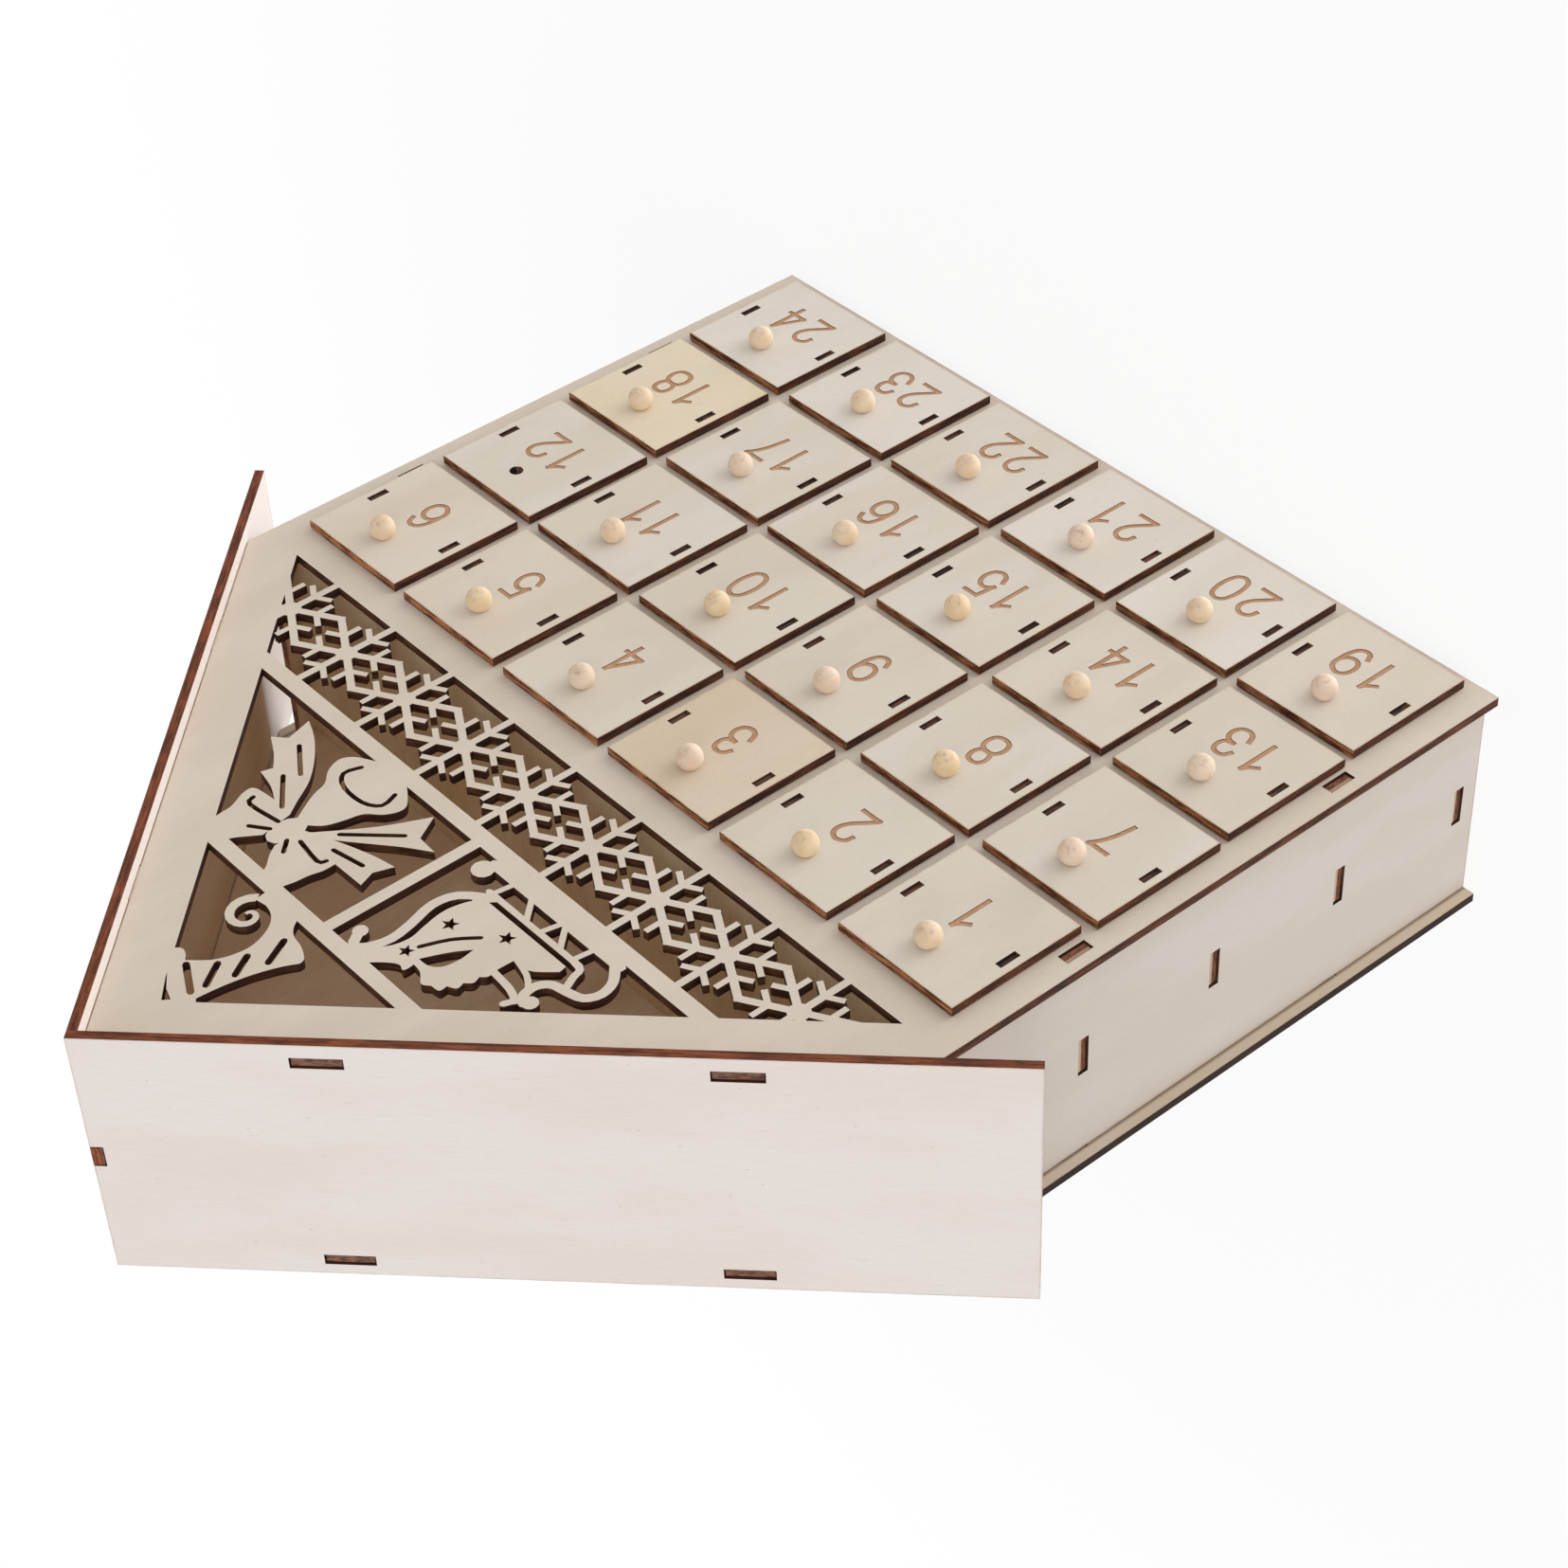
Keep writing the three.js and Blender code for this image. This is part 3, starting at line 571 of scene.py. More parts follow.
def smooth_path(knots: np.ndarray, steps: int, closed: bool) -> np.ndarray:
    """A smooth curve through points.

    Formula: between two points, the cubic that leaves and reaches each along the line between its
    neighbours.

    Args:
        knots: The points, one row each.
        steps: How many steps lie between two of them.
        closed: Whether the curve comes back to its start.

    Returns:
        One row for each point of the curve.
    """
    if closed:
        ring = np.concatenate([knots[-1:], knots, knots[:2]])
    else:
        ring = np.concatenate([2 * knots[:1] - knots[1:2], knots, 2 * knots[-1:] - knots[-2:-1]])
    before, start, end, after = (ring[i:len(ring) - 3 + i, None] for i in range(4))
    share = np.linspace(0, 1, steps, endpoint=False)[None, :, None]
    curve = 0.5 * (2 * start + (end - before) * share + (2 * before - 5 * start + 4 * end - after) * share**2
                   + (3 * start - before - 3 * end + after) * share**3)
    curve = curve.reshape(-1, knots.shape[1])
    return curve if closed else np.concatenate([curve, knots[-1:]])


def prism(outline: np.ndarray, axis: int, low: float, high: float) -> Board:
    """A flat board: an outline carried straight through its thickness.

    Args:
        outline: The outline's corners, in the two directions other than the axis, in their order.
        axis: The direction through the board: 0, 1 or 2.
        low: Where the board starts along it.
        high: Where it ends.

    Returns:
        The corners, the faces, and for each face 0 if it is a face of the sheet or 1 if it is an edge.
    """
    count = len(outline)
    sides = [np.insert(outline, axis, level, axis=1) for level in (low, high)]
    faces = grid_faces(2, count) + [list(range(count)), list(range(2 * count - 1, count - 1, -1))]
    return np.concatenate(sides), faces, [1] * count + [0, 0]


@dataclass
class Numeral:
    """The engraved numbers: square-ended grooves of even width along each digit's strokes."""

    height: float = 15.0
    width: float = 8.1
    groove: float = 1.6
    floor: float = 1.35
    depth: float = 0.22
    gap: float = 2.6
    drop: float = 5.6
    row_rises: tuple[float, ...] = (0.5, 1.8, -0.3, -0.4)
    aside: float = -1.3
    steps: int = 6
    proud: float = 0.6
    closer: float = 1.5
    closer_aside: float = 1.05
    centred: tuple[int, ...] = (1, 3, 4, 5, 15, 19, 21, 24)
    rises: dict[int, float] = field(default_factory=lambda: {14: -1.0, 17: 2.0, 18: 1.0})
    oval: tuple[Pair, ...] = ((0, 1), (0.7, 0.8), (1, 0.28), (1, -0.28), (0.7, -0.8), (0, -1), (-0.7, -0.8),
                              (-1, -0.28), (-1, 0.28), (-0.7, 0.8))
    strokes: dict[str, tuple[tuple[Pair, ...], ...]] = field(default_factory=lambda: {
        "1": (((-0.62, 0.5), (-0.05, 0.72), (0.36, 1.0)), ((0.36, 1.0), (0.36, -1.0))),
        "2": (((-0.93, 0.48), (-0.74, 0.82), (0.0, 1.0), (0.72, 0.82), (0.92, 0.45), (0.62, 0.02),
               (0.0, -0.38), (-0.62, -0.74), (-0.96, -1.0)), ((-0.96, -1.0), (1.0, -1.0))),
        "3": (((-0.9, 0.6), (-0.6, 0.9), (0.0, 1.0), (0.6, 0.88), (0.82, 0.52), (0.6, 0.19), (-0.12, 0.07)),
              ((-0.12, 0.07), (0.62, -0.03), (1.0, -0.42), (0.72, -0.85), (0.0, -1.0), (-0.68, -0.84),
               (-1.0, -0.46))),
        "4": (((0.44, 1.0), (-1.0, -0.44)), ((-1.0, -0.44), (1.0, -0.44)), ((0.44, 1.0), (0.44, -1.0))),
        "5": (((0.84, 0.98), (-0.6, 0.98)), ((-0.6, 0.98), (-0.86, 0.02)),
              ((-0.86, 0.02), (-0.42, 0.24), (0.16, 0.3), (0.76, 0.08), (1.0, -0.34), (0.74, -0.8),
               (0.06, -1.0), (-0.62, -0.86), (-0.98, -0.5))),
        "6": (((0.92, 0.6), (0.62, 0.9), (0.06, 1.0), (-0.6, 0.8), (-0.95, 0.25), (-1.0, -0.35)),
              ((-1.0, -0.35), (-0.8, -0.76), (0.02, -1.0), (0.76, -0.8), (1.0, -0.34), (0.74, 0.06),
               (0.06, 0.23), (-0.66, 0.06))),
        "7": (((-1.0, 0.98), (1.0, 0.98)), ((1.0, 0.98), (0.42, 0.46), (0.02, -0.16), (-0.26, -1.0))),
    })

    def digit(self, sign: str) -> list[tuple[np.ndarray, bool]]:
        """The middle lines of a digit's strokes.

        Args:
            sign: The digit.

        Returns:
            For each stroke its points, as shares of half the digit's size, and whether it closes.
        """
        oval = np.array(self.oval)
        if sign == "0":
            return [(oval, True)]
        if sign == "8":
            return [(oval * (0.8, 0.46) + (0, 0.54), True), (oval * (1.0, 0.55) + (0, -0.45), True)]
        if sign == "6":
            tail, bowl = self.strokes["6"]
            return [(np.array(tail), False), (np.array(bowl), True)]
        if sign == "9":
            return [(-line, closed) for line, closed in self.digit("6")]
        return [(np.array(stroke), False) for stroke in self.strokes[sign]]

    def cutter(self, line: np.ndarray, closed: bool) -> Solid:
        """The solid that cuts one groove: a profile carried along the stroke.

        Formula: at each point of the line four corners lie to its left and right, wide above the face and
        narrow at the groove's floor, and both ends reach on by half the profile's width.

        Args:
            line: The stroke's points in millimetres, x and z.
            closed: Whether it comes back to its start.

        Returns:
            The corners, with y = 0 on the face and growing into the wood, and the faces.
        """
        steps = 1 if len(line) == 2 else self.steps
        path = smooth_path(line, steps, closed)
        if closed:
            heading = np.roll(path, -1, axis=0) - np.roll(path, 1, axis=0)
        else:
            heading = np.gradient(path, axis=0)
        heading /= np.linalg.norm(heading, axis=1, keepdims=True)
        side = np.stack([-heading[:, 1], heading[:, 0]], axis=1)
        reach = np.zeros(len(path))
        if not closed:
            reach[0], reach[-1] = -1, 1
        top = self.groove / 2 + (self.groove - self.floor) / 2 * self.proud / self.depth
        bottom = self.floor / 2
        profile = ((top, -self.proud), (-top, -self.proud), (-bottom, self.depth), (bottom, self.depth))
        rings = []
        for half, level in profile:
            at = path + side * half + heading * (abs(half) * reach)[:, None]
            rings.append(np.insert(at, 1, level, axis=1))
        points = np.stack(rings, axis=1).reshape(-1, 3)
        faces = grid_faces(len(path), len(profile), closed)
        if not closed:
            count = len(points)
            faces += [list(range(4)), list(range(count - 1, count - 5, -1))]
        return points, faces

    def cutters(self, number: int) -> list[Solid]:
        """The cutters of a whole number, about the middle of the drawer front.

        Args:
            number: The number.

        Returns:
            Corners and faces of each cutter.
        """
        signs = str(number)
        aside = 0.0 if number in self.centred else self.aside
        rise = self.row_rises[(number - 1) // COLUMNS] + self.rises.get(number, 0.0) - self.drop
        half = np.array([self.width - self.groove, self.height - self.groove]) / 2
        closer, aside = (self.closer, aside + self.closer_aside) if signs == "11" else (0.0, aside)
        pitch = self.width + self.gap - closer
        shapes = []
        for place, sign in enumerate(signs):
            centre = np.array([(place - (len(signs) - 1) / 2) * pitch + aside, rise])
            shapes += [self.cutter(line * half + centre, closed) for line, closed in self.digit(sign)]
        return shapes


def cut(piece: Piece, cutters: Sequence[Solid]) -> None:
    """Cuts solids out of a piece, one after another, and keeps the result as its mesh.

    Args:
        piece: The piece.
        cutters: Corners in millimetres and faces of each solid.
    """
    tools = [made(f"cutter.{i}", [], *cutter) for i, cutter in enumerate(cutters)]
    for tool in tools:
        modifier = piece.modifiers.new("cut", "BOOLEAN")
        modifier.operation, modifier.solver, modifier.object = "DIFFERENCE", "EXACT", tool
    bpy.context.view_layer.update()
    graph = bpy.context.evaluated_depsgraph_get()
    result = bpy.data.meshes.new_from_object(piece.evaluated_get(graph))
    piece.modifiers.clear()
    old, piece.data = piece.data, result
    result.name = piece.name
    bpy.data.meshes.remove(old)
    for tool in tools:
        mesh = tool.data
        bpy.data.objects.remove(tool)
        bpy.data.meshes.remove(mesh)


@dataclass(frozen=True)
class GrooveFinish:
    """The engraved numbers: toasted wood, darker on the grooves' walls."""

    toast: Colour = linear(172, 130, 96)
    light: Colour = linear(202, 164, 130)
    patch: Colour = linear(166, 118, 84)
    wall: Colour = linear(116, 70, 46)
    roughness: float = 0.7

    def material(self) -> Material:
        """Makes the material of the grooves.

        Returns:
            The material.
        """
        graph = Graph("engraved_number")
        grit = graph.noise(graph.place, rough=0.7, scale=1.6)
        wide = graph.noise(graph.place, layers=2.0, rough=0.5, scale=0.35).rise(0.35, 0.7)
        colour = graph.mix(grit.rise(0.3, 0.75), self.toast, self.light)
        colour = graph.mix(wide * 0.4, colour, self.patch)
        colour = graph.mix(abs(graph.facing(Y)).rise(0.97, 0.85) * 0.9, colour, self.wall)
        surface = Surface(colour, self.roughness + grit * 0.15, grit)
        return graph.finish(surface, depth=0.12, strength=0.5)


@dataclass(frozen=True)
class BeadFinish:
    """A turned knob: soft lines of grain, small specks and a greyer tip, which is darker end grain with
    painted shade.
    """

    tint: Bead
    ring: Colour = linear(216, 180, 136)
    # The tip's grey: darker end grain with painted shade where the knob faces front and a little up.
    tip: Colour = linear(182, 154, 134)
    speck: Colour = linear(158, 124, 98)
    tip_way: Triple = (-0.1, -0.92, 0.38)
    roughness: float = 0.55
    glow: float = 0.35

    def material(self) -> Material:
        """Makes the material of the knobs of this tint.

        Returns:
            The material.
        """
        graph = Graph(f"bead_{self.tint.name.lower()}")
        line = graph.noise(graph.combined(graph.along(X) / 0.5, graph.along(Y) / 3.0, graph.along(Z) / 2.4))
        cloud = graph.noise(graph.place, layers=2.0, rough=0.5, scale=0.22)
        speck = graph.noise(graph.place, rough=0.65, scale=0.75)
        # Greyer tip facing front and a little up: end grain, with painted shade.
        tip = graph.facing(Vector(self.tip_way)).rise(0.6, 0.98)
        colour = graph.mix(cloud.rise(0.3, 0.7), *self.tint.value)
        colour = graph.mix(line.rise(0.5, 0.85) * 0.3, colour, self.ring)
        colour = graph.mix(tip * (speck.rise(0.45, 0.68) * 0.45 + 0.1), colour, self.tip)
        colour = graph.mix(speck.rise(0.66, 0.74) * 0.4, colour, self.speck)
        surface = Surface(colour, self.roughness + line * 0.15, line)
        return graph.finish(surface, depth=0.05, strength=0.3, glow=self.glow)


@dataclass
class Drawer:
    """One drawer: a front board with an engraved number, a glued tray and a ball knob."""

    number: int
    sheet: float = 3.0
    tray_sheet: float = 2.0
    lip: float = 2.7
    bevel: float = 0.12
    slot_width: float = 2.3
    slot_height: float = 7.2
    tab_height: float = 6.9
    tab_below: float = 0.9
    hole_rise: float = field(init=False)
    hole_radius: float = 2.25
    peg_radius: float = 1.9
    ball_radius: float = 4.0
    ball_flat: float = 0.9
    ball_steps: int = 22
    turns: int = 40
    hole_turns: int = 32
    seat_bevel: float = 0.15
    peg_bevel: float = 0.2
    overrun: float = 1.0
    seed_step: float = 0.73
    scorch: Scorch = Scorch(linear(184, 142, 92), reach=1.2, strength=0.7)
    floor_rise: float = 5.0
    top_drop: float = 5.0
    notches: tuple[float, ...] = (0.22, 0.4, 0.62, 0.8)
    play: float = 0.04
    low: np.ndarray = field(init=False)
    high: np.ndarray = field(init=False)
    middle: np.ndarray = field(init=False)
    half: np.ndarray = field(init=False)
    slot_place: float = field(init=False)

    def __post_init__(self) -> None:
        """Takes the drawer's corners and its front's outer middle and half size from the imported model."""
        self.low, self.high = np.array(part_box(self.node)) / MM
        self.middle, self.half = (self.low + self.high) / 2, (self.high - self.low)[[0, 2]] / 2
        self.middle[1] = self.low[1]
        self.slot_place = self.half[0] - self.lip - self.tray_sheet / 2
        knob, plate = np.array(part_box("knob_01")) / MM, np.array(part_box("drawer_01")) / MM
        self.hole_rise = float((knob - plate)[:, 2].mean())

    @property
    def node(self) -> str:
        """The name of the drawer's node and body."""
        return f"drawer_{self.number:02d}"

    def face_material(self) -> Material:
        """Makes the material of the front's faces: bare wood, scorched along its cut edges.

        Returns:
            The material.
        """
        graph = Graph(f"{self.node}_face")
        tone = PLATE_TONES.get(self.number, Tone.CREAM)
        face = BareWood(*tone.value).at(graph, Z, X, self.number * self.seed_step)
        sides = ((X, self.middle[0], self.half[0]), (Z, self.middle[2], self.half[1]))
        rims = [(axis * sign, float(sign * middle + half))
                for sign in (-1, 1) for axis, middle, half in sides]
        colour = self.scorch.over(graph, face.colour, graph.inset(rims))
        return graph.finish(Surface(colour, face.roughness, face.height), depth=0.1, strength=0.25)

    def front_board(self) -> Solid:
        """The front board: a rectangle carried through the sheet, drawn in a little at both faces.

        Returns:
            Its corners, about the middle of its outer face, and its faces.
        """
        levels = [0, self.bevel, self.sheet - self.bevel, self.sheet]
        insets = [self.bevel, 0, 0, self.bevel]
        rings = [np.insert(CORNERS * (self.half - inset), 1, level, axis=1)
                 for level, inset in zip(levels, insets)]
        return np.concatenate(rings), grid_faces(4, 4) + [[0, 1, 2, 3], [12, 13, 14, 15]]

    def openings(self) -> list[Solid]:
        """The cutters of the two tab slots and of the peg's hole, straight through the front board.

        Returns:
            Corners and faces of each.
        """
        aside = np.array([self.slot_place, 0])
        turn = np.linspace(0, 2 * math.pi, self.hole_turns, endpoint=False)
        slot = CORNERS * (self.slot_width / 2, self.slot_height / 2)
        hole = np.stack([np.cos(turn), np.sin(turn)], axis=1) * self.hole_radius + (0, self.hole_rise)
        return [prism(outline, 1, -self.overrun, self.sheet + self.overrun)[:2]
                for outline in (slot - aside, slot + aside, hole)]

    def tray_boards(self) -> Board:
        """The tray: two sides with tabs through the front, a back between them and a base let into all three.

        Formula: each board is a flat outline. Square teeth join them with a hair's play, so no faces meet.

        Returns:
            Corners, faces and, for each face, its finish: 0 face, 1 edge, 2 the end of a tab in its slot.
        """
        skin, play = self.tray_sheet, self.play
        outer = self.half[0] - self.lip
        inner = outer - skin
        snug = inner - play
        face, back = self.middle[1], self.high[1]
        front, tip = face + self.sheet, face + self.tab_below
        floor, top = self.low[2] + self.floor_rise, self.high[2] - self.top_drop
        centre, tab = self.middle[2], self.tab_height / 2
        third = (top - floor) / 3
        notch = np.array(self.notches) * (back - front) + front

        def teeth(places: np.ndarray, root: float, crest: float) -> np.ndarray:
            """A row of two square teeth: each place twice, at the root and the crest by turns."""
            return np.stack([np.repeat(places, 2), [root, crest, crest, root] * 2], axis=1)

        def mirrored(half: np.ndarray) -> np.ndarray:
            """An outline of its right half and the same half turned over to the left."""
            return np.concatenate([half, half[::-1] * (-1, 1)])

        side = np.concatenate([[[front, floor]], teeth(notch, floor, floor + skin), [
            [back, floor], [back, floor + third], [back - skin, floor + third], [back - skin, top - third],
            [back, top - third], [back, top], [front, top], [front, centre + tab], [tip, centre + tab],
            [tip, centre - tab], [front, centre - tab]]])
        rear = mirrored(np.array([
            [snug, floor + skin + play], [snug, floor + third + play], [outer, floor + third + play],
            [outer, top - third - play], [snug, top - third - play], [snug, top]]))
        slack = np.array([play, -play, play, -play])
        tongues = teeth(notch + slack, snug, outer)[:, ::-1]
        base = mirrored(np.concatenate([[[snug, front]], tongues, [[snug, back]]]))
        x = self.middle[0]
        boards = [prism(side, 0, x - outer, x - inner), prism(side, 0, x + inner, x + outer),
                  prism(rear + (x, 0), 1, back - skin, back), prism(base + (x, 0), 2, floor, floor + skin)]
        for _, _, edges in boards[:2]:
            edges[len(side) - 3] = 2
        vertices, faces, kinds = np.empty((0, 3)), [], []
        for points, corners, edges in boards:
            faces += [[corner + len(vertices) for corner in ring] for ring in corners]
            vertices = np.concatenate([vertices, points])
            kinds += edges
        return vertices, faces, kinds

    def knob(self) -> Solid:
        """The knob: a half outline turned about its own axis.

        Formula: the ball's radius follows a circle down to the flat that sits on the face, and a peg with
        broken edges goes on through the front.

        Returns:
            Its corners, about the place where its axis meets the front's face, and its faces.
        """
        angle = np.linspace(0, math.pi - math.acos(1 - self.ball_flat / self.ball_radius), self.ball_steps)
        ball = np.stack([np.sin(angle), -1 - np.cos(angle)], axis=1) * self.ball_radius + (0, self.ball_flat)
        peg = self.peg_radius
        outline = np.concatenate([ball, [
            [peg + self.seat_bevel, 0.0], [peg, self.seat_bevel], [peg, self.sheet - self.peg_bevel],
            [peg - self.peg_bevel, self.sheet], [0.0, self.sheet]]])
        turn = np.linspace(0, 2 * math.pi, self.turns, endpoint=False)
        rings = np.stack([outline[:, :1] * np.cos(turn), np.repeat(outline[:, 1:], self.turns, axis=1),
                          outline[:, :1] * np.sin(turn)], axis=-1)
        return rings.reshape(-1, 3), grid_faces(len(outline), self.turns)

    def build(self, numeral: Numeral, materials: dict[str, Material]) -> None:
        """Makes the drawer's pieces and puts them on its body.

        Args:
            numeral: The engraved numbers.
            materials: The shared finishes by name.
        """
        finishes = [self.face_material(), materials["edge"], materials["groove"], materials["slot"]]
        front = made(f"{self.node}_front", finishes, *self.front_board())
        cut(front, self.openings() + numeral.cutters(self.number))
        self.sort_faces(front, numeral.depth)
        front.data.transform(Matrix.Translation(Vector(self.middle * MM)))
        finishes = [materials["tray"], materials["edge"], materials["slot"]]
        tray = made(f"{self.node}_tray", finishes, *self.tray_boards())
        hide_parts(self.node)
        if self.number != BARE_DRAWER:
            vertices, faces = self.knob()
            vertices += self.middle + (0, 0, self.hole_rise)
            bead = materials[BEAD_TONES.get(self.number, Bead.CREAM).name]
            knob = made(f"{self.node}_bead", [bead], vertices, faces, smooth=True)
            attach(knob, self.node)
            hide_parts(f"knob_{self.number:02d}")
        for piece in (front, tray):
            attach(piece, self.node)
        log.info("%s: %d faces", front.name, len(front.data.polygons))

    def sort_faces(self, front: Piece, groove: float) -> None:
        """Gives each face of the front its finish by its place and way: 0 face, 1 edge, 2 groove, 3 slot.

        Args:
            front: The front board, still about its own middle.
            groove: How deep the numbers are, in millimetres.
        """
        mesh = front.data
        count = len(mesh.polygons)
        normals, centres = np.empty(count * 3), np.empty(count * 3)
        mesh.polygons.foreach_get("normal", normals)
        mesh.polygons.foreach_get("center", centres)
        normals, centres = normals.reshape(-1, 3), centres.reshape(-1, 3) / MM
        flat, hair, rim = np.abs(normals[:, 1]) > 0.98, 0.02, 1.0
        near = (centres[:, 1] > hair) & (centres[:, 1] < groove + hair)
        inside = np.all(np.abs(centres[:, [0, 2]]) < self.half - rim, axis=1)
        slot = np.abs(np.abs(centres[:, 0]) - self.slot_place) < self.slot_width
        kinds = np.where(near & inside & ~slot, 2, np.where(flat, 0, np.where(inside, 3, 1))).astype(np.int32)
        mesh.polygons.foreach_set("material_index", kinds)
        mesh.polygons.foreach_set("use_smooth", np.zeros(count, bool))


@dataclass
class House:
    """The carcass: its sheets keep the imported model's shapes and get bare faces and burnt edges."""

    sheet: float = 3.0
    front_face: float = -33.35
    rear_face: float = 39.65
    panel: BareWood = BareWood(linear(215, 202, 188), linear(208, 193, 175), mottle=0.7)
    rear: BareWood = BareWood(linear(198, 184, 167), linear(191, 174, 151), mottle=0.7, fibre=0.2)
    roof: BareWood = BareWood(linear(239, 230, 226), linear(236, 225, 216), mottle=0.9)
    wall: BareWood = BareWood(linear(214, 205, 197), linear(209, 198, 186), mottle=0.8)
    shelf: BareWood = BareWood(linear(236, 214, 184), linear(222, 194, 160), mottle=0.9, fibre=0.3)
    # Painted light: the attic floor's wood is paler than the other sheets so that the floor seen through the
    # gable looks lit.
    attic: BareWood = BareWood(linear(252, 234, 200), linear(244, 216, 176), mottle=0.9, fibre=0.35)
    edge: LaserEdge = LaserEdge()
    # The front panel's edges get less painted shade where they face left.
    panel_edge: LaserEdge = LaserEdge(left=0.3)
    rear_edge: LaserEdge = LaserEdge(dark=linear(24, 11, 6), brown=linear(70, 40, 25),
                                     tan=linear(108, 70, 44), lift=0.0)
    roof_edge: LaserEdge = LaserEdge(dark=linear(54, 23, 13), brown=linear(128, 64, 34),
                                     tan=linear(164, 94, 56), lift=0.25, streaks=0.35)
    panel_tab: Colour = linear(142, 102, 82)
    wall_tab: Colour = linear(136, 84, 62)
    shelf_tab: Colour = linear(132, 80, 60)
    wall_scorch: Scorch = Scorch(strength=0.9)

    @staticmethod
    def extent(node: Piece, direction: Vector) -> float:
        """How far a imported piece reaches.

        Args:
            node: Its object.
            direction: A direction of length 1.

        Returns:
            Its furthest place along it, in millimetres.
        """
        corners = np.empty(len(node.data.vertices) * 3)
        node.data.vertices.foreach_get("co", corners)
        return float((corners.reshape(-1, 3) @ np.array(direction)).max()) / MM

    def dress(self, nodes: dict[str, Piece]) -> None:
        """Gives every sheet of the house its material.

        Args:
            nodes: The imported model's objects by name.
        """
        left, right = (Z - X).normalized(), (Z + X).normalized()
        width, ridge = self.extent(nodes["front_panel"], X), self.extent(nodes["front_panel"], Z)
        slope = ridge / math.sqrt(2)
        gable = ((X, width), (-X, width), (-Z, 0.0), (left, slope), (right, slope))
        depth = ((Y, self.rear_face), (-Y, -self.front_face))
        wall = depth + ((Z, self.extent(nodes["left_wall"], Z)), (-Z, 0.0))
        inner = -self.extent(nodes["left_wall"], X)
        shelf = depth + ((X, inner), (-X, inner))
        finishes = {
            "front_panel": SheetFinish(self.panel, self.panel_edge, Y, Z, Y, gable, self.panel_tab),
            "back_panel": SheetFinish(self.rear, self.rear_edge, Y, Z, -Y, gable, self.panel_tab,
                                      seam=inner + self.sheet),
        }
        for name, out in (("left_wall", -X), ("right_wall", X)):
            finishes[name] = SheetFinish(self.wall, self.edge, out, Z, -out, wall, self.wall_tab, lip=0.5,
                                         scorch=self.wall_scorch)
        for name, out in (("left_roof", left), ("right_roof", right)):
            along = Y.cross(out)
            rims = tuple((side, self.extent(nodes[name], side)) for side in (Y, -Y, along, -along))
            finishes[name] = SheetFinish(self.roof, self.roof_edge, out, along, -out, rims, self.panel_tab)
        for name in ("floor_board", "shelf_1", "shelf_2", "shelf_3", "attic_floor"):
            wood = self.attic if name == "attic_floor" else self.shelf
            finishes[name] = SheetFinish(wood, self.edge, Z, Y, Z, shelf, self.shelf_tab, lip=0.85,
                                         indoors=wood)
        for seed, (name, finish) in enumerate(finishes.items()):
            node = nodes[name]
            low, high = -self.extent(node, -finish.axis), self.extent(node, finish.axis)
            middle = low + self.sheet / 2 if "roof" in name else (low + high) / 2
            node.data.materials.clear()
            node.data.materials.append(finish.material(name, middle, float(seed)))
            log.info("%s dressed", name)


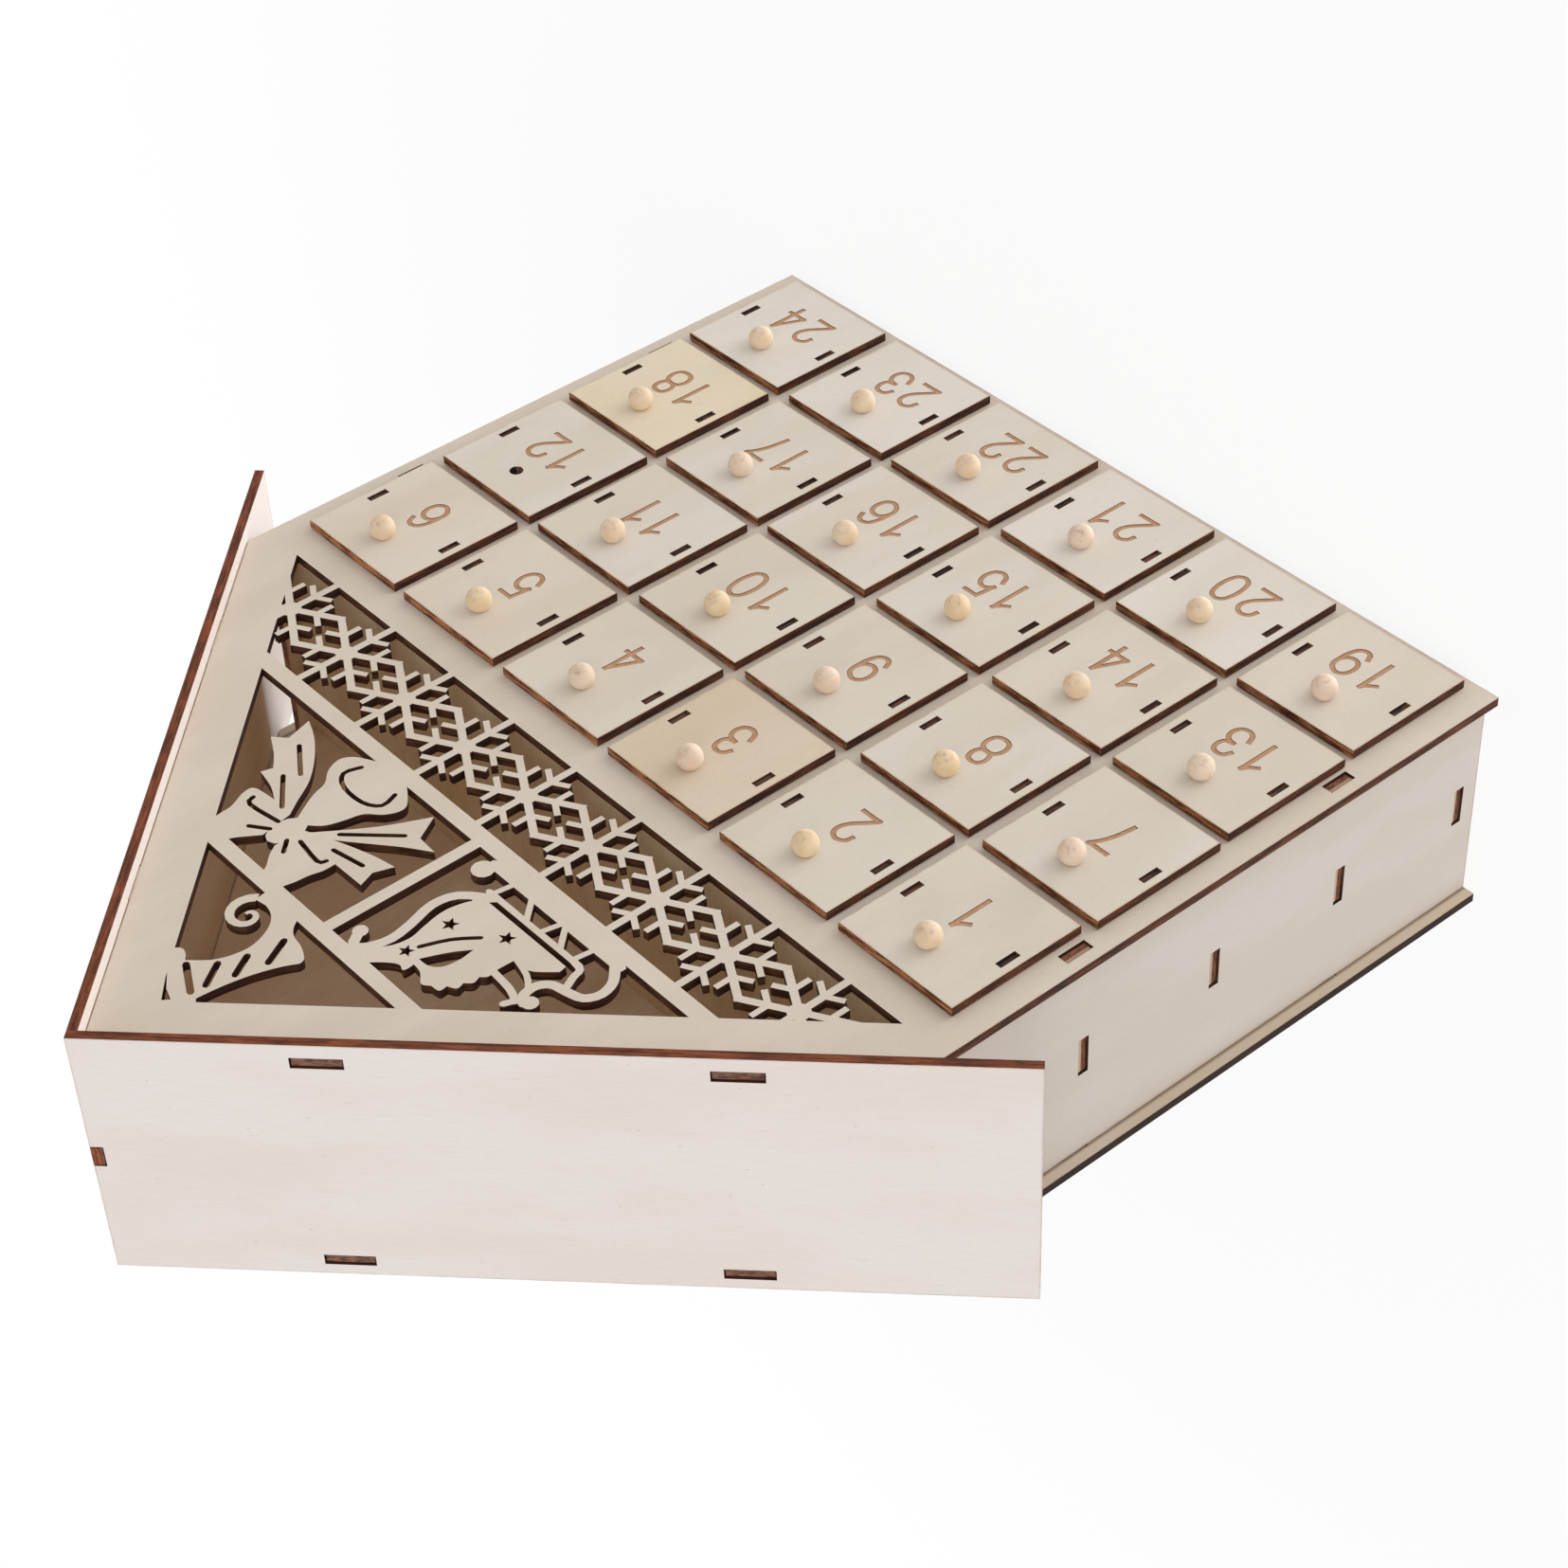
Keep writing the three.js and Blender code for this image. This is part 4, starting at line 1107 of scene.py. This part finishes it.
@dataclass
class Studio:
    """A white floor, soft light and the camera."""

    floor_radius: float = 9000.0
    middle: Triple = (0.0, -40.0, 190.0)
    lens: float = 78.954
    sensor: float = 36.0
    camera_place: Triple = (-620.474, -664.909, 636.578)
    camera_right: Triple = (-0.6484379, 0.0352404, -0.76045145)
    camera_up: Triple = (0.47663819, -0.76010364, -0.44165426)
    sky: float = 0.55
    ring_shares: tuple[float, ...] = (0, 0.03, 0.06, 0.12, 0.25, 0.5, 1.0)
    turns: int = 96
    shadow_ends: Pair = (200.0, 700.0)
    shadow_share: float = 0.14

    def camera(self) -> None:
        """Puts the camera where the photograph was taken from."""
        data = bpy.data.cameras.new("camera")
        data.lens, data.sensor_width, data.sensor_fit = self.lens, self.sensor, "HORIZONTAL"
        data.clip_start, data.clip_end = 0.01, 100.0
        camera = bpy.data.objects.new("camera", data)
        back = np.cross(self.camera_right, self.camera_up)
        turn = np.stack([self.camera_right, self.camera_up, back], axis=1)
        camera.matrix_world = Matrix.LocRotScale(
            Vector(self.camera_place) * MM, Matrix(turn.tolist()).to_quaternion(), None)
        bpy.context.scene.collection.objects.link(camera)
        bpy.context.scene.camera = camera

    def lamp(self, name: str, towards: Triple, strength: float, width: float, distance: float = 0.0) -> None:
        """Adds a soft lamp: a far one, or a round one near the house that lights the near parts more.

        Formula: a near lamp's power is its strength times pi times the squared distance.

        Args:
            name: Its name.
            towards: The direction from the house to the lamp.
            strength: How much light it gives on a surface that faces it, at the house's middle.
            width: How wide it is: a far one in degrees, a near one in millimetres.
            distance: How far a near one stands from the house's middle, in millimetres, or 0.
        """
        direction = Vector(towards).normalized()
        data = bpy.data.lights.new(name, "AREA" if distance else "SUN")
        if distance:
            data.shape, data.size = "DISK", width * MM
            data.energy = strength * math.pi * (distance * MM) ** 2
        else:
            data.energy, data.angle = strength, math.radians(width)
        lamp = bpy.data.objects.new(name, data)
        lamp.location = (Vector(self.middle) + direction * distance) * MM
        lamp.rotation_euler = direction.to_track_quat("Z", "Y").to_euler()
        lamp.visible_camera = not distance
        bpy.context.scene.collection.objects.link(lamp)

    def seen(self, graph: Graph) -> Wire:
        """1 where a camera or a mirror-like ray looks, and 0 for scattered light."""
        rays = ("Is Camera Ray", "Is Glossy Ray", "Is Transmission Ray")
        return reduce(Wire.most, [graph.node("ShaderNodeLightPath", {}, {}, ray) for ray in rays])

    def world(self) -> None:
        """Surrounds the house with even light, and with white where it is looked at."""
        graph = Graph("studio", world=True)
        bpy.context.scene.world = graph.owner
        strength = self.sky + self.seen(graph) * (1 - self.sky)
        sky = graph.node("ShaderNodeBackground", {}, {"Color": (1, 1, 1, 1), "Strength": strength})
        graph.close("ShaderNodeOutputWorld", sky)

    def floor(self) -> None:
        """Lays a round white floor that keeps the house's soft shadow near it."""
        radii = np.array(self.ring_shares)[:, None] * self.floor_radius
        turn = np.linspace(0, 2 * math.pi, self.turns, endpoint=False)
        flat = np.zeros((len(radii), self.turns))
        rings = np.stack([radii * np.cos(turn), radii * np.sin(turn), flat], axis=-1)
        graph = Graph("floor")
        far = (graph.along(X) ** 2.0 + graph.along(Y) ** 2.0) ** 0.5
        share = self.seen(graph) * (far.rise(*self.shadow_ends) * self.shadow_share + 1 - self.shadow_share)
        paint = graph.node("ShaderNodeBsdfDiffuse", {}, {"Color": (0.9, 0.9, 0.9, 1)})
        glow = graph.node("ShaderNodeEmission", {}, {"Color": (1, 1, 1, 1), "Strength": 1.0})
        both = graph.node("ShaderNodeMixShader", {}, {0: share, 1: paint, 2: glow})
        graph.close("ShaderNodeOutputMaterial", both)
        floor = made("floor", [graph.owner], rings.reshape(-1, 3), grid_faces(len(radii), self.turns))
        floor.visible_shadow = False

    def build(self) -> None:
        """Makes the camera, the world, the floor and the lamps."""
        self.camera()
        self.world()
        self.floor()
        self.lamp("key", (-0.35, -0.62, -0.7), strength=0.78, width=850.0, distance=1200.0)
        self.lamp("fill", (-0.66, -0.6, 0.45), strength=0.44, width=40.0)
        self.lamp("top", (-0.55, -0.1, 0.83), strength=0.66, width=50.0)
        self.lamp("eaves", (0.05, -0.08, -0.99), strength=2.1, width=40.0)
        self.lamp("rear", (0.45, 0.85, 0.25), strength=0.5, width=60.0)
        bpy.context.scene.view_settings.view_transform = "Standard"


def main() -> None:
    """Builds the scene piece by piece."""
    logging.basicConfig(level=logging.INFO, format="%(name)s: %(message)s")
    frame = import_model()
    Studio().build()
    House().dress(frame["nodes"])
    burnt = LaserEdge(dark=linear(30, 18, 14), brown=linear(112, 76, 58), tan=linear(160, 122, 96), lift=0.05)
    tray, slanted = Graph("tray_face"), (X + Z).normalized()
    surface = BareWood(linear(214, 200, 178), linear(206, 188, 158)).at(tray, Y, slanted, seed=3.0)
    materials = {
        "edge": LaserEdge().material("cut_edge", Y, Drawer(1).middle[1] + Drawer.sheet / 2, seed=1.0),
        "groove": GrooveFinish().material(),
        "slot": burnt.material("burnt_slot", X, middle=0.0, seed=2.0),
        "tray": tray.finish(surface, depth=0.1, strength=0.3),
    }
    materials |= {bead.name: BeadFinish(bead).material() for bead in Bead}
    numeral = Numeral()
    for number in NUMBERS:
        Drawer(number).build(numeral, materials)


if __name__ == "__main__":
    main()
